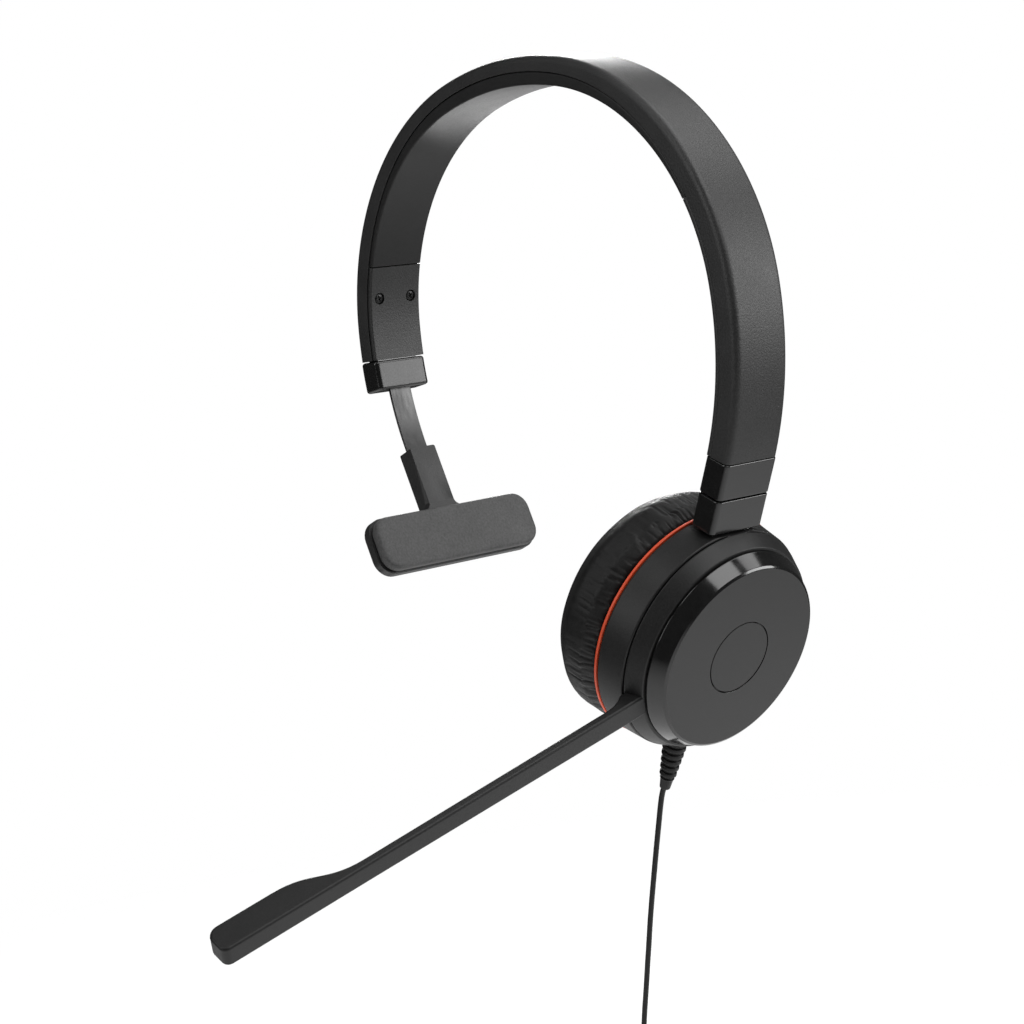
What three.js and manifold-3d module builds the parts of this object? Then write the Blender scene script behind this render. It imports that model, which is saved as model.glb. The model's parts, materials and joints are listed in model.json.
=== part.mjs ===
// Office headset with one ear cup, a T-shaped temple pad and a boom microphone.
// Millimetres. +X is the ear cup's side, -Y is the wearer's front, +Z is up.
// The origin is on the inside of the headband at the crown, where it rests on the head.
import * as THREE from 'three';
import { mergeVertices } from 'three/addons/utils/BufferGeometryUtils.js';
import Module from 'manifold-3d';

const wasm = await Module();
wasm.setup();

// ---------------------------------------------------------------- driving dimensions

const GAP = 0.3; // between pieces that touch
const DEG = Math.PI / 180;

// Headband. Arc lengths run along its outer surface from the crown.
const BAND_WIDTH = 19;
const BAND_THICKNESS = 7.9;
const CROWN_RADIUS = 106;
const CROWN_ARC = 25;
const SHOULDER_RADIUS = 72;
const SHOULDER_ARC = 91.5;
const LIMB_RADIUS = 97;
const BAND_ARC_LEFT = 126.8;
const BAND_ARC_RIGHT = 163.5;
const BAND_EDGE_RADIUS = 2;
const SHELL_WALL = 1.5;
const SHELL_SIDE_WALL = 1.7;
const LINER_THICKNESS = 1.6;
const PLATE_ARC_LEFT = 31; // length of the inner plate at the temple end
const PLATE_ARC_RIGHT = 73.5; // length of the inner plate at the cup end
const SPRING_WIDTH = 8.4;
const SPRING_THICKNESS = 0.4;

// Band screws and their bosses
const SCREW_INSET = 10.7; // from the upper end of a plate
const SCREW_INSET_LOW = 13.5; // from the lower end of the long plate
const SCREW_HEAD_RADIUS = 1.5;
const SCREW_HEAD_HEIGHT = 0.75;
const SCREW_SHANK_RADIUS = 0.7;
const BOSS_RADIUS = 1.3;
const PLATE_FLOOR = 0.5; // under a screw head
const PLATE_INSET = 0.2; // from the band's side to the plates and the liner
const BAND_SCREW_LENGTH = 3.2;
const SCREW_SINK = 0.15; // of a screw head below the plate

// Slider strips
const STRIP_WIDTH = 8;
const STRIP_THICKNESS = 0.8;
const STRIP_HELD = 10; // length still in the band when it is pulled right out
const TRAVEL_RIGHT = 28;
const TRAVEL_LEFT_OUT = 12;
const STRIP_SHOWN_LEFT = 20.8; // between the left collar and the temple arm
const STRIP_SEAT = 10; // length inside the temple arm
const STOP_LENGTH = 4;
const STOP_THICKNESS = 1.2;
const LEAF_LENGTH = 12;
const LEAF_WIDTH = 5;
const LEAF_THICKNESS = 0.3;
const LEAF_CLEARANCE = 0.4; // under the inner plate

// Collars
const COLLAR_LEFT_LENGTH = 9.6;
const COLLAR_RIGHT_LENGTH = 10;
const COLLAR_SPIGOT = 6;
const COLLAR_CORNER = 1.6;

// Temple arm and pad
const ARM_WIDTH = 9.4;
const ARM_THICKNESS = 6;
const ARM_FILLET = 2.2; // between the arm and the pad's backing
const ARM_TO_PAD = 28.6; // from the arm's top to the pad's middle
const BACKING_LENGTH = 60;
const BACKING_HEIGHT = 17.4;
const BACKING_THICKNESS = 2.7;
const BACKING_CORNER = 5.5;
const PAD_LENGTH = 57.4;
const PAD_HEIGHT = 15.2;
const PAD_THICKNESS = 3.4;
const PAD_CORNER = 4.6;
const PAD_EDGE = 0.8;

// Yoke and ear cup. Cup heights are measured from the flat outer face, inward.
const YOKE_CANT = 1.4; // degrees between the band's end and the yoke
const YOKE_LENGTH = 9.4;
const YOKE_CLEARANCE = 0.4; // between the right collar and the yoke
const YOKE_GRIP = 3.6; // length of strip held in the yoke
const CUP_DROP = 52.3; // from the band's end to the cup's axis
const PIN_RADIUS = 1;
const PIN_COVER = 0.9; // wall left over each end of the pin
const PIN_HEIGHT = 34.6; // above the cup's axis
const LUG_RADIUS = 2;
const LUG_WIDTH = 8.4;
const COVER_FACE_RADIUS = 26.5;
const COVER_RIM_RADIUS = 28.9;
const COVER_DEPTH = 4.9;
const COVER_WALL = 1.6;
const COVER_BEVEL = 0.5;
const DISC_RADIUS = 10.2;
const DISC_THICKNESS = 0.6;
const RING_TOP = 5.2;
const RING_BOTTOM = 10.1;
const RING_TOP_RADIUS = 29.5;
const RING_BOTTOM_RADIUS = 31.9;
const NECK_RADIUS = 26.2;
const NECK_TOP = 5.6;
const HOUSING_TOP = 10.4;
const HOUSING_TOP_RADIUS = 32.1;
const HOUSING_RIM_RADIUS = 32.9;
const HOUSING_WALL = 1.8;
const LAND_HEIGHT = 31.4; // of the flat under the yoke, above the cup's axis
const SEAT_DEPTH = 2.4; // of the solid under the yoke's flat
const WASHER_INNER = 27.5;
const WASHER_OUTER = 30;
const WASHER_THICKNESS = 0.5;
const TRIM_THICKNESS = 0.8;
const TRIM_RADIUS = 33.1;
const TRIM_WIDTH = 2.2;
const CUSHION_RADIUS = 33.8;
const CUSHION_HOLE_RADIUS = 15;
const CUSHION_DEPTH = 17.6;
const CUSHION_PLATE_THICKNESS = 1;
const CUSHION_PLATE_RADIUS = 30;
const BOARD_TOP = 8.2;
const BOARD_THICKNESS = 1.2;
const COVER_SCREW_ANGLES = [90, 210, 330];
const COVER_SCREW_LENGTH = 4;
const COVER_POST_RADIUS = 2.2;
const BAFFLE_THICKNESS = 1.6;
const VENT_COUNT = 6;
const VENT_RADIUS = 1.6;
const VENT_CIRCLE = 21;
const SPEAKER_RADIUS = 13.6;
const MAGNET_CUP_RADIUS = 7.2;
const MAGNET_RADIUS = 5;
const VOICE_COIL_RADIUS = 6.1;

// Boom and microphone, measured from the cup's axis along the boom
const BOOM_ANGLE = 17.5; // degrees below the wearer's front
const BOOM_OFFSET = 2.6; // from the cup's axis down to the bar's middle
const BOOM_ROOT = 33.2;
const BOOM_TIP = 158.8;
const BOOM_ROOT_HEIGHT = 6.4;
const BOOM_END_HEIGHT = 5.6;
const BOOM_FRONT = 5.2;
const BOOM_THICKNESS = 2.5;
const BOOM_EDGE = 0.6;
const POD_START = 117;
const POD_FULL = 140;
const POD_THICKNESS = 8.4;
const POD_WALL = 0.9;
const POD_TIP_RADIUS = 3.4;
const POD_FRONT_RADIUS = 2;
const PORT_RADIUS = 0.7;
const PORT_SPACING = 2.4;
const CAPSULE_RADIUS = 1.5;
const CAPSULE_AT = 148;

// Strain relief, cord and plug
const RELIEF_DEPTH = 15; // from the cup's outer face
const RELIEF_TIP = 49.5; // from the cup's axis
const RELIEF_RADIUS = 3.6;
const RELIEF_TIP_RADIUS = 1.5;
const RELIEF_NECK_RADIUS = 2.5;
const RELIEF_RIBS = 5;
const CORD_DIAMETER = 1.6;
const CORD_ROUTE = [ // x, y, z from the strain relief's tip, along the hanging stretch
  [-0.86, 0, -0.43], [-2.56, 0, -5.23], [-3.96, 0, -10.03], [-5.46, 0, -14.93], [-6.96, 0, -20.03],
  [-8.46, 0, -25.23], [-9.96, 0, -30.43], [-11.46, 0, -35.73], [-12.86, 0, -41.03], [-14.16, 0, -46.43],
  [-15.56, 0, -51.83], [-16.86, 0, -57.13], [-18.16, 0, -62.23], [-19.46, 0, -67.23], [-20.56, 0, -72.03],
  [-21.46, 0, -76.73], [-22.11, 0, -81.43], [-22.46, 0, -86.13], [-22.61, 0, -90.73],
];
const COIL_CENTRE = { x: -11.36, y: 4.15, z: -97.73 }; // from the strain relief's tip
const COIL_MIDDLE_RADIUS = 9.6;
const COIL_SECTION = 5.4; // across the turns, outward
const COIL_WIDTH = 10.2; // across the turns, sideways
const COIL_EDGE = 0.8;
const TIE_WIDTH = 3;
const TIE_THICKNESS = 0.7;
const TIE_CLEARANCE = 0.5; // inside the coil
const TIE_ANGLE = 60; // degrees up the coil from +X
const TAIL_ROUTE = [ // x, y, z from the strain relief's tip, from the coil to the plug
  [-22.61, 8.3, -104.93], [-22.61, 8.3, -108.73], [-22.61, 8.3, -112.73], [-22.56, 8.2, -116.73],
  [-22.51, 8.0, -120.73],
];
const PLUG_GRIP_LENGTH = 24;
const PLUG_GRIP_RADIUS = 3.6;
const PLUG_SHAFT_RADIUS = 1.75;
const PLUG_CORE_RADIUS = 0.9;
const PLUG_BAND = 0.35; // insulating band between two poles
const PLUG_POLES = { sleeve: 5.6, ring_lower: 1.9, ring_upper: 1.9 }; // lengths

// ---------------------------------------------------------------- sizes that follow from those

const SCREW_SPREAD = STRIP_WIDTH / 2 + BOSS_RADIUS + 2 * GAP; // bosses stand beside the strips
// from the band's outer surface to the strip's middle
const STRIP_DEPTH = BAND_THICKNESS - LINER_THICKNESS - LEAF_CLEARANCE - LEAF_THICKNESS
  - STOP_THICKNESS / 2 - GAP;
const CUP_SET_BACK = HOUSING_TOP + GAP; // from the cup's outer face to the band's outer surface
const HOUSING_RIM = CUP_SET_BACK + BAND_THICKNESS + 2 * GAP;
const TRIM_TOP = HOUSING_RIM + GAP;
const CUSHION_PLATE_TOP = TRIM_TOP + TRIM_THICKNESS + GAP;
const CUSHION_TOP = CUSHION_PLATE_TOP + CUSHION_PLATE_THICKNESS + GAP;
const BOARD_RADIUS = NECK_RADIUS - HOUSING_WALL - 1.4;
const COVER_SCREW_CIRCLE = BOARD_RADIUS - 4;

// ---------------------------------------------------------------- materials

function finish(color, roughness, metalness = 0) {
  return () => new THREE.MeshStandardMaterial({ color, roughness, metalness });
}

const softTouch = finish(0x26272a, 0.72);
const rubber = finish(0x1c1d1f, 0.85);
const satinPlastic = finish(0x2a2b2d, 0.5);
const glossPlastic = finish(0x0e0e10, 0.12);
const leatherette = finish(0x161617, 0.6);
const fabric = finish(0x1b1b1d, 0.95);
const padGrey = finish(0x3a3b3d, 0.8);
const orange = finish(0xd8452a, 0.55);
const steel = finish(0x8b8d90, 0.34, 1);
const darkSteel = finish(0x3a3b3e, 0.4, 1);
const nickel = finish(0xb9b4a6, 0.22, 1);
const copper = finish(0xb0713c, 0.35, 1);
const boardGreen = finish(0x1f5a38, 0.5);
const film = finish(0xc9c6bd, 0.3);

// ---------------------------------------------------------------- solids

const WELD = 1e-4;

// Shares the vertices of a closed surface and turns its faces outward.
function welded(geometry) {
  const bare = new THREE.BufferGeometry();
  bare.setAttribute('position', geometry.getAttribute('position').clone());
  if (geometry.getIndex()) bare.setIndex(geometry.getIndex().clone());
  const merged = mergeVertices(bare, WELD);
  const position = merged.getAttribute('position');
  const corners = [0, 1, 2].map(() => new THREE.Vector3());
  const index = merged.getIndex().array;
  const kept = [];
  let volume = 0;
  for (let i = 0; i < index.length; i += 3) {
    const [a, b, c] = [index[i], index[i + 1], index[i + 2]];
    if (a === b || b === c || c === a) continue;
    corners.forEach((corner, k) => corner.fromBufferAttribute(position, index[i + k]));
    volume += corners[0].dot(corners[1].clone().cross(corners[2]));
    kept.push(a, b, c);
  }
  if (volume < 0) {
    for (let i = 0; i < kept.length; i += 3) [kept[i], kept[i + 1]] = [kept[i + 1], kept[i]];
  }
  merged.setIndex(kept);
  return merged;
}

function toManifold(geometry) {
  const solid = welded(geometry);
  return new wasm.Manifold(new wasm.Mesh({
    numProp: 3,
    vertProperties: new Float32Array(solid.getAttribute('position').array),
    triVerts: new Uint32Array(solid.getIndex().array),
  }));
}

function toGeometry(manifold) {
  const { vertProperties, triVerts } = manifold.getMesh();
  const geometry = new THREE.BufferGeometry();
  geometry.setAttribute('position', new THREE.BufferAttribute(new Float32Array(vertProperties), 3));
  geometry.setIndex(Array.from(triVerts));
  return geometry;
}

function cut(body, ...tools) {
  return toGeometry(tools.reduce((left, tool) => left.subtract(toManifold(tool)), toManifold(body)));
}

function join(body, ...others) {
  return toGeometry(others.reduce((sum, other) => sum.add(toManifold(other)), toManifold(body)));
}

// A turned piece about +Z. The profile is [radius, z] pairs.
function turned(profile, segments = 40) {
  const points = profile.map(([r, z]) => new THREE.Vector2(r, z));
  return new THREE.LatheGeometry(points, segments).rotateX(Math.PI / 2);
}

// A turned ring: its profile closes on itself.
function turnedRing(profile, segments = 40) {
  return turned([...profile, profile[0]], segments);
}

// A turned cylinder between two heights.
function rod(radius, z0, z1, segments) {
  return turned([[0, z0], [radius, z0], [radius, z1], [0, z1]], segments);
}

function box(x0, x1, y0, y1, z0, z1) {
  return new THREE.BoxGeometry(x1 - x0, y1 - y0, z1 - z0)
    .translate((x0 + x1) / 2, (y0 + y1) / 2, (z0 + z1) / 2);
}

function roundedRect(x0, x1, y0, y1, radius) {
  const shape = new THREE.Shape();
  shape.moveTo(x0 + radius, y0);
  shape.lineTo(x1 - radius, y0);
  shape.absarc(x1 - radius, y0 + radius, radius, -Math.PI / 2, 0, false);
  shape.lineTo(x1, y1 - radius);
  shape.absarc(x1 - radius, y1 - radius, radius, 0, Math.PI / 2, false);
  shape.lineTo(x0 + radius, y1);
  shape.absarc(x0 + radius, y1 - radius, radius, Math.PI / 2, Math.PI, false);
  shape.lineTo(x0, y0 + radius);
  shape.absarc(x0 + radius, y0 + radius, radius, Math.PI, 1.5 * Math.PI, false);
  return shape;
}

function rectangle(x0, x1, y0, y1) {
  const corners = [[x0, y0], [x1, y0], [x1, y1], [x0, y1]];
  return new THREE.Shape(corners.map(([x, y]) => new THREE.Vector2(x, y)));
}

// A straight prism of the shape along +Z, with its long edges rounded by a bevel.
function prism(shape, z0, z1, bevel = 0, curveSegments = 4, bevelSegments = 1) {
  return new THREE.ExtrudeGeometry(shape, {
    depth: z1 - z0 - 2 * bevel,
    bevelEnabled: bevel > 0,
    bevelThickness: bevel,
    bevelSize: bevel,
    bevelOffset: -bevel,
    bevelSegments,
    curveSegments,
  }).translate(0, 0, z0 + bevel);
}

function sweep(shape, line, steps, curveSegments = 3) {
  return new THREE.ExtrudeGeometry(shape, {
    steps, bevelEnabled: false, extrudePath: line, curveSegments,
  });
}

function addPiece(parent, name, geometry, material) {
  const mesh = new THREE.Mesh(welded(geometry), material());
  mesh.name = name;
  parent.add(mesh);
  return mesh;
}

// ---------------------------------------------------------------- the headband's line

// Each side is a crown arc, a shoulder arc and a limb arc that meet tangentially. An angle is the
// turn from the crown, and a centre lies in the plane y = 0.
const crownAngle = CROWN_ARC / CROWN_RADIUS;
const shoulderAngle = crownAngle + SHOULDER_ARC / SHOULDER_RADIUS;
const limbStart = CROWN_ARC + SHOULDER_ARC;
const crownCentre = { x: 0, z: BAND_THICKNESS - CROWN_RADIUS };
const shoulderCentre = onArc(crownCentre, CROWN_RADIUS - SHOULDER_RADIUS, crownAngle);
const limbCentre = onArc(shoulderCentre, SHOULDER_RADIUS - LIMB_RADIUS, shoulderAngle);

function onArc(centre, radius, angle) {
  return { x: centre.x + radius * Math.sin(angle), z: centre.z + radius * Math.cos(angle) };
}

function limbAngle(s) {
  return shoulderAngle + (Math.abs(s) - limbStart) / LIMB_RADIUS;
}

function limbPoint(s, depth) {
  const point = onArc(limbCentre, LIMB_RADIUS - depth, limbAngle(s));
  return new THREE.Vector3(Math.sign(s) * point.x, 0, point.z);
}

function bandPoint(s, depth) {
  const run = Math.abs(s);
  if (run > limbStart) return limbPoint(s, depth);
  const onCrown = run <= CROWN_ARC;
  const angle = onCrown ? run / CROWN_RADIUS : crownAngle + (run - CROWN_ARC) / SHOULDER_RADIUS;
  const point = onCrown
    ? onArc(crownCentre, CROWN_RADIUS - depth, angle)
    : onArc(shoulderCentre, SHOULDER_RADIUS - depth, angle);
  return new THREE.Vector3(Math.sign(s) * point.x, 0, point.z);
}

// A line along the band from one arc length to a larger one. Swept along it, a section's first
// coordinate runs across the band and its second runs inward from the outer surface.
class BandLine extends THREE.Curve {
  constructor(from, to, at = bandPoint) {
    super();
    this.from = from;
    this.to = to;
    this.at = at;
  }

  getPoint(t) {
    return this.at(this.from + (this.to - this.from) * t, 0);
  }

  getUtoTmapping(u) {
    return u;
  }
}

// Places a geometry on the band: its +Z points inward from the outer surface.
function onBand(geometry, s, y, depth) {
  const origin = bandPoint(s, depth);
  const along = bandPoint(s + 0.01, depth).sub(origin).normalize();
  const inward = bandPoint(s, depth + 1).sub(origin).normalize();
  const across = inward.clone().cross(along);
  origin.y = y;
  return geometry.clone().applyMatrix4(
    new THREE.Matrix4().makeBasis(along, across, inward).setPosition(origin),
  );
}

const halfBand = BAND_WIDTH / 2;
const linerTop = BAND_THICKNESS - LINER_THICKNESS;
const plateLeftStart = -(BAND_ARC_LEFT - PLATE_ARC_LEFT);
const plateRightStart = BAND_ARC_RIGHT - PLATE_ARC_RIGHT;
const screwRows = {
  left: plateLeftStart - SCREW_INSET,
  right: plateRightStart + SCREW_INSET,
  right_low: BAND_ARC_RIGHT - SCREW_INSET_LOW,
};

function shellSection() {
  const side = linerTop - GAP;
  const inner = halfBand - SHELL_SIDE_WALL;
  const edge = BAND_EDGE_RADIUS;
  const shape = new THREE.Shape();
  shape.moveTo(-halfBand, side);
  shape.lineTo(-halfBand, edge);
  shape.absarc(-halfBand + edge, edge, edge, Math.PI, 1.5 * Math.PI, false);
  shape.lineTo(halfBand - edge, 0);
  shape.absarc(halfBand - edge, edge, edge, -Math.PI / 2, 0, false);
  shape.lineTo(halfBand, side);
  shape.lineTo(inner, side);
  shape.lineTo(inner, SHELL_WALL);
  shape.lineTo(-inner, SHELL_WALL);
  shape.lineTo(-inner, side);
  return shape;
}

// ---------------------------------------------------------------- headband pieces

function makeHeadband(headset) {
  const bosses = [];
  const bores = [];
  const bossTop = SHELL_WALL / 2;
  const bossBottom = linerTop - GAP;
  const boss = rod(BOSS_RADIUS, 0, bossBottom - bossTop, 10);
  const bore = rod(SCREW_SHANK_RADIUS + GAP, 0, bossBottom, 8);
  for (const s of Object.values(screwRows)) {
    for (const y of [-SCREW_SPREAD, SCREW_SPREAD]) {
      bosses.push(onBand(boss, s, y, bossTop));
      bores.push(onBand(bore, s, y, SHELL_WALL));
    }
  }
  const channel = sweep(shellSection(), new BandLine(-BAND_ARC_LEFT, BAND_ARC_RIGHT), 34, 2);
  addPiece(headset, 'band_outer_shell', cut(join(channel, ...bosses), ...bores), softTouch);

  const springTop = SHELL_WALL + GAP;
  const spring = rectangle(-SPRING_WIDTH / 2, SPRING_WIDTH / 2, springTop, springTop + SPRING_THICKNESS);
  const springLine = new BandLine(-(BAND_ARC_LEFT - COLLAR_SPIGOT - 1), BAND_ARC_RIGHT - COLLAR_SPIGOT - 1);
  addPiece(headset, 'band_spring_steel', sweep(spring, springLine, 28), darkSteel);

  const linerHalf = halfBand - PLATE_INSET;
  const liner = roundedRect(-linerHalf, linerHalf, linerTop, BAND_THICKNESS, 0.7);
  const linerLine = new BandLine(plateLeftStart + GAP, plateRightStart - GAP);
  addPiece(headset, 'band_liner', sweep(liner, linerLine, 20, 1), rubber);

  const rightRows = [screwRows.right, screwRows.right_low];
  makeInnerPlate(headset, 'inner_plate_left', -BAND_ARC_LEFT, plateLeftStart, [screwRows.left]);
  makeInnerPlate(headset, 'inner_plate_right', plateRightStart, BAND_ARC_RIGHT, rightRows);
  const seat = BAND_THICKNESS - SCREW_HEAD_HEIGHT - SCREW_SINK;
  for (const [row, s] of Object.entries(screwRows)) {
    for (const [end, y] of [['front', -SCREW_SPREAD], ['rear', SCREW_SPREAD]]) {
      const screw = onBand(makeScrew(BAND_SCREW_LENGTH), s, y, seat);
      addPiece(headset, `plate_screw_${row}_${end}`, screw, darkSteel);
    }
  }
}

function makeInnerPlate(headset, name, from, to, rows) {
  const half = halfBand - PLATE_INSET;
  const section = roundedRect(-half, half, linerTop, BAND_THICKNESS, 0.6);
  const steps = Math.max(4, Math.round((to - from) / 9));
  const wide = SCREW_HEAD_RADIUS + GAP;
  const narrow = SCREW_SHANK_RADIUS + GAP;
  const hole = turned([
    [0, -1], [narrow, -1], [narrow, PLATE_FLOOR], [wide, PLATE_FLOOR], [wide, 3], [0, 3],
  ], 12);
  const cutters = [];
  for (const s of rows) {
    for (const y of [-SCREW_SPREAD, SCREW_SPREAD]) cutters.push(onBand(hole, s, y, linerTop));
  }
  addPiece(headset, name, cut(sweep(section, new BandLine(from, to), steps, 1), ...cutters), softTouch);
}

// A pan-head screw with a cross recess. Its head points along +Z and its seat is at z = 0.
function makeScrew(length) {
  const head = turned([
    [0, -length], [SCREW_SHANK_RADIUS, -length], [SCREW_SHANK_RADIUS, 0],
    [SCREW_HEAD_RADIUS, 0], [SCREW_HEAD_RADIUS, SCREW_HEAD_HEIGHT * 0.7],
    [SCREW_HEAD_RADIUS * 0.8, SCREW_HEAD_HEIGHT], [0, SCREW_HEAD_HEIGHT],
  ], 8);
  const slot = 0.2;
  const reach = SCREW_HEAD_RADIUS * 0.6;
  const floor = SCREW_HEAD_HEIGHT * 0.35;
  return cut(head, box(-reach, reach, -slot, slot, floor, 2), box(-slot, slot, -reach, reach, floor, 2));
}

// ---------------------------------------------------------------- sliders and collars

const leftArmTop = -(BAND_ARC_LEFT + GAP + COLLAR_LEFT_LENGTH + STRIP_SHOWN_LEFT);
const stripSection = rectangle(
  -STRIP_WIDTH / 2, STRIP_WIDTH / 2,
  STRIP_DEPTH - STRIP_THICKNESS / 2, STRIP_DEPTH + STRIP_THICKNESS / 2,
);
const stripSlot = rectangle(
  -STRIP_WIDTH / 2 - GAP, STRIP_WIDTH / 2 + GAP,
  STRIP_DEPTH - STRIP_THICKNESS / 2 - GAP, STRIP_DEPTH + STRIP_THICKNESS / 2 + GAP,
);
const stripSpan = {
  left: [leftArmTop - STRIP_SEAT, -(BAND_ARC_LEFT - STRIP_HELD - TRAVEL_LEFT_OUT)],
  right: [
    BAND_ARC_RIGHT - STRIP_HELD - TRAVEL_RIGHT,
    BAND_ARC_RIGHT + GAP + COLLAR_RIGHT_LENGTH + YOKE_CLEARANCE + YOKE_GRIP,
  ],
};

function stripCutter(side) {
  const [from, to] = stripSpan[side];
  return sweep(stripSlot, new BandLine(from - 1, to + 1, limbPoint), 12);
}

function makeSlider(headset, side) {
  const [from, to] = stripSpan[side];
  const strip = sweep(stripSection, new BandLine(from, to, limbPoint), 12);
  addPiece(headset, `slider_strip_${side}`, strip, steel);

  // The stop is moulded on the strip's inner end, and the leaf spring holds the strip where it is set.
  const sign = side === 'left' ? -1 : 1;
  const innerEnd = side === 'left' ? to : from;
  const stop = rectangle(
    -STRIP_WIDTH / 2, STRIP_WIDTH / 2,
    STRIP_DEPTH - STOP_THICKNESS / 2, STRIP_DEPTH + STOP_THICKNESS / 2,
  );
  const stopEnds = [innerEnd - sign * (GAP + STOP_LENGTH), innerEnd - sign * GAP];
  const stopSpan = stopEnds.sort((a, b) => a - b);
  addPiece(headset, `slider_stop_${side}`, sweep(stop, new BandLine(...stopSpan, limbPoint), 2), rubber);

  const bandEnd = sign * (side === 'left' ? BAND_ARC_LEFT : BAND_ARC_RIGHT);
  const leafTop = STRIP_DEPTH + STOP_THICKNESS / 2 + GAP;
  const leaf = rectangle(-LEAF_WIDTH / 2, LEAF_WIDTH / 2, leafTop, leafTop + LEAF_THICKNESS);
  const leafSpan = [
    bandEnd - sign * (COLLAR_SPIGOT + 1 + LEAF_LENGTH), bandEnd - sign * (COLLAR_SPIGOT + 1),
  ].sort((a, b) => a - b);
  addPiece(headset, `slider_leaf_spring_${side}`, sweep(leaf, new BandLine(...leafSpan), 3), steel);
}

function collarSection() {
  return roundedRect(-halfBand, halfBand, 0, BAND_THICKNESS, COLLAR_CORNER);
}

function spigotSection() {
  const half = halfBand - SHELL_SIDE_WALL - GAP;
  const top = SHELL_WALL + GAP;
  return roundedRect(-half, half, top, linerTop - GAP, 0.4);
}

function makeLeftCollar(headset) {
  const end = -(BAND_ARC_LEFT + GAP);
  const collar = sweep(collarSection(), new BandLine(end - COLLAR_LEFT_LENGTH, end), 3, 3);
  const spigot = sweep(spigotSection(), new BandLine(end - 1, end + COLLAR_SPIGOT), 3, 1);
  addPiece(headset, 'collar_left', cut(join(collar, spigot), stripCutter('left')), glossPlastic);
}

// ---------------------------------------------------------------- frames of the two ends

// A frame on the band's outer surface at arc length s. Its +Y runs up the limb, its +Z outward.
function endFrame(s, cant) {
  const side = Math.sign(s);
  const tilt = limbAngle(s) - Math.PI / 2 + cant * DEG;
  const up = new THREE.Vector3(side * Math.sin(tilt), 0, Math.cos(tilt));
  const out = new THREE.Vector3(side * Math.cos(tilt), 0, -Math.sin(tilt));
  const frame = new THREE.Group();
  frame.setRotationFromMatrix(new THREE.Matrix4().makeBasis(up.clone().cross(out), up, out));
  frame.position.copy(limbPoint(s, 0));
  frame.updateMatrixWorld();
  return frame;
}

// Brings a geometry of the whole headset into a frame.
function into(frame, geometry) {
  return geometry.clone().applyMatrix4(frame.matrixWorld.clone().invert());
}

// ---------------------------------------------------------------- temple arm and pad

function makeTemplePad(headset) {
  const frame = endFrame(leftArmTop, 0);
  headset.add(frame);
  const middle = -STRIP_DEPTH; // the strip's middle, in this frame
  const armBack = middle - ARM_THICKNESS / 2;
  const padY = -ARM_TO_PAD;
  const fillet = ARM_FILLET;

  const tee = new THREE.Shape();
  const half = BACKING_LENGTH / 2;
  const top = padY + BACKING_HEIGHT / 2;
  const bottom = padY - BACKING_HEIGHT / 2;
  const corner = BACKING_CORNER;
  const arm = ARM_WIDTH / 2;
  tee.moveTo(-half + corner, bottom);
  tee.lineTo(half - corner, bottom);
  tee.absarc(half - corner, bottom + corner, corner, -Math.PI / 2, 0, false);
  tee.absarc(half - corner, top - corner, corner, 0, Math.PI / 2, false);
  tee.lineTo(arm + fillet, top);
  tee.absarc(arm + fillet, top + fillet, fillet, 1.5 * Math.PI, Math.PI, true);
  tee.lineTo(-arm, top + fillet);
  tee.absarc(-arm - fillet, top + fillet, fillet, 0, 1.5 * Math.PI, true);
  tee.lineTo(-half + corner, top);
  tee.absarc(-half + corner, top - corner, corner, Math.PI / 2, Math.PI, false);
  tee.absarc(-half + corner, bottom + corner, corner, Math.PI, 1.5 * Math.PI, false);
  const backing = prism(tee, armBack, armBack + BACKING_THICKNESS, 0.6, 4);
  const sleeveShape = roundedRect(-arm, arm, top - 4, 0, 0.6);
  const sleeve = prism(sleeveShape, armBack, armBack + ARM_THICKNESS, 0.5, 2);
  const armBody = cut(join(backing, sleeve), into(frame, stripCutter('left')));
  addPiece(frame, 'temple_arm', armBody, softTouch);

  const padHalf = PAD_LENGTH / 2;
  const padRise = PAD_HEIGHT / 2;
  const pad = roundedRect(-padHalf, padHalf, padY - padRise, padY + padRise, PAD_CORNER);
  const padFoam = prism(pad, armBack - GAP - PAD_THICKNESS, armBack - GAP, PAD_EDGE, 4);
  addPiece(frame, 'temple_pad', padFoam, padGrey);
}

// ---------------------------------------------------------------- right collar and yoke

function cupFrame(yokeFrame) {
  const frame = new THREE.Group();
  frame.position.set(0, -CUP_DROP, CUP_SET_BACK);
  yokeFrame.add(frame);
  yokeFrame.updateMatrixWorld();
  return frame;
}

function makeRightCollar(frame) {
  const outline = roundedRect(-halfBand, halfBand, -BAND_THICKNESS, 0, COLLAR_CORNER);
  const collar = prism(outline, GAP, GAP + COLLAR_RIGHT_LENGTH, 0.3, 3).rotateX(Math.PI / 2);
  const end = BAND_ARC_RIGHT;
  const spigot = into(frame, sweep(spigotSection(), new BandLine(end - COLLAR_SPIGOT, end + 2), 3, 1));
  const slotted = cut(join(collar, spigot), into(frame, stripCutter('right')));
  addPiece(frame, 'collar_right', slotted, glossPlastic);
}

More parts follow.
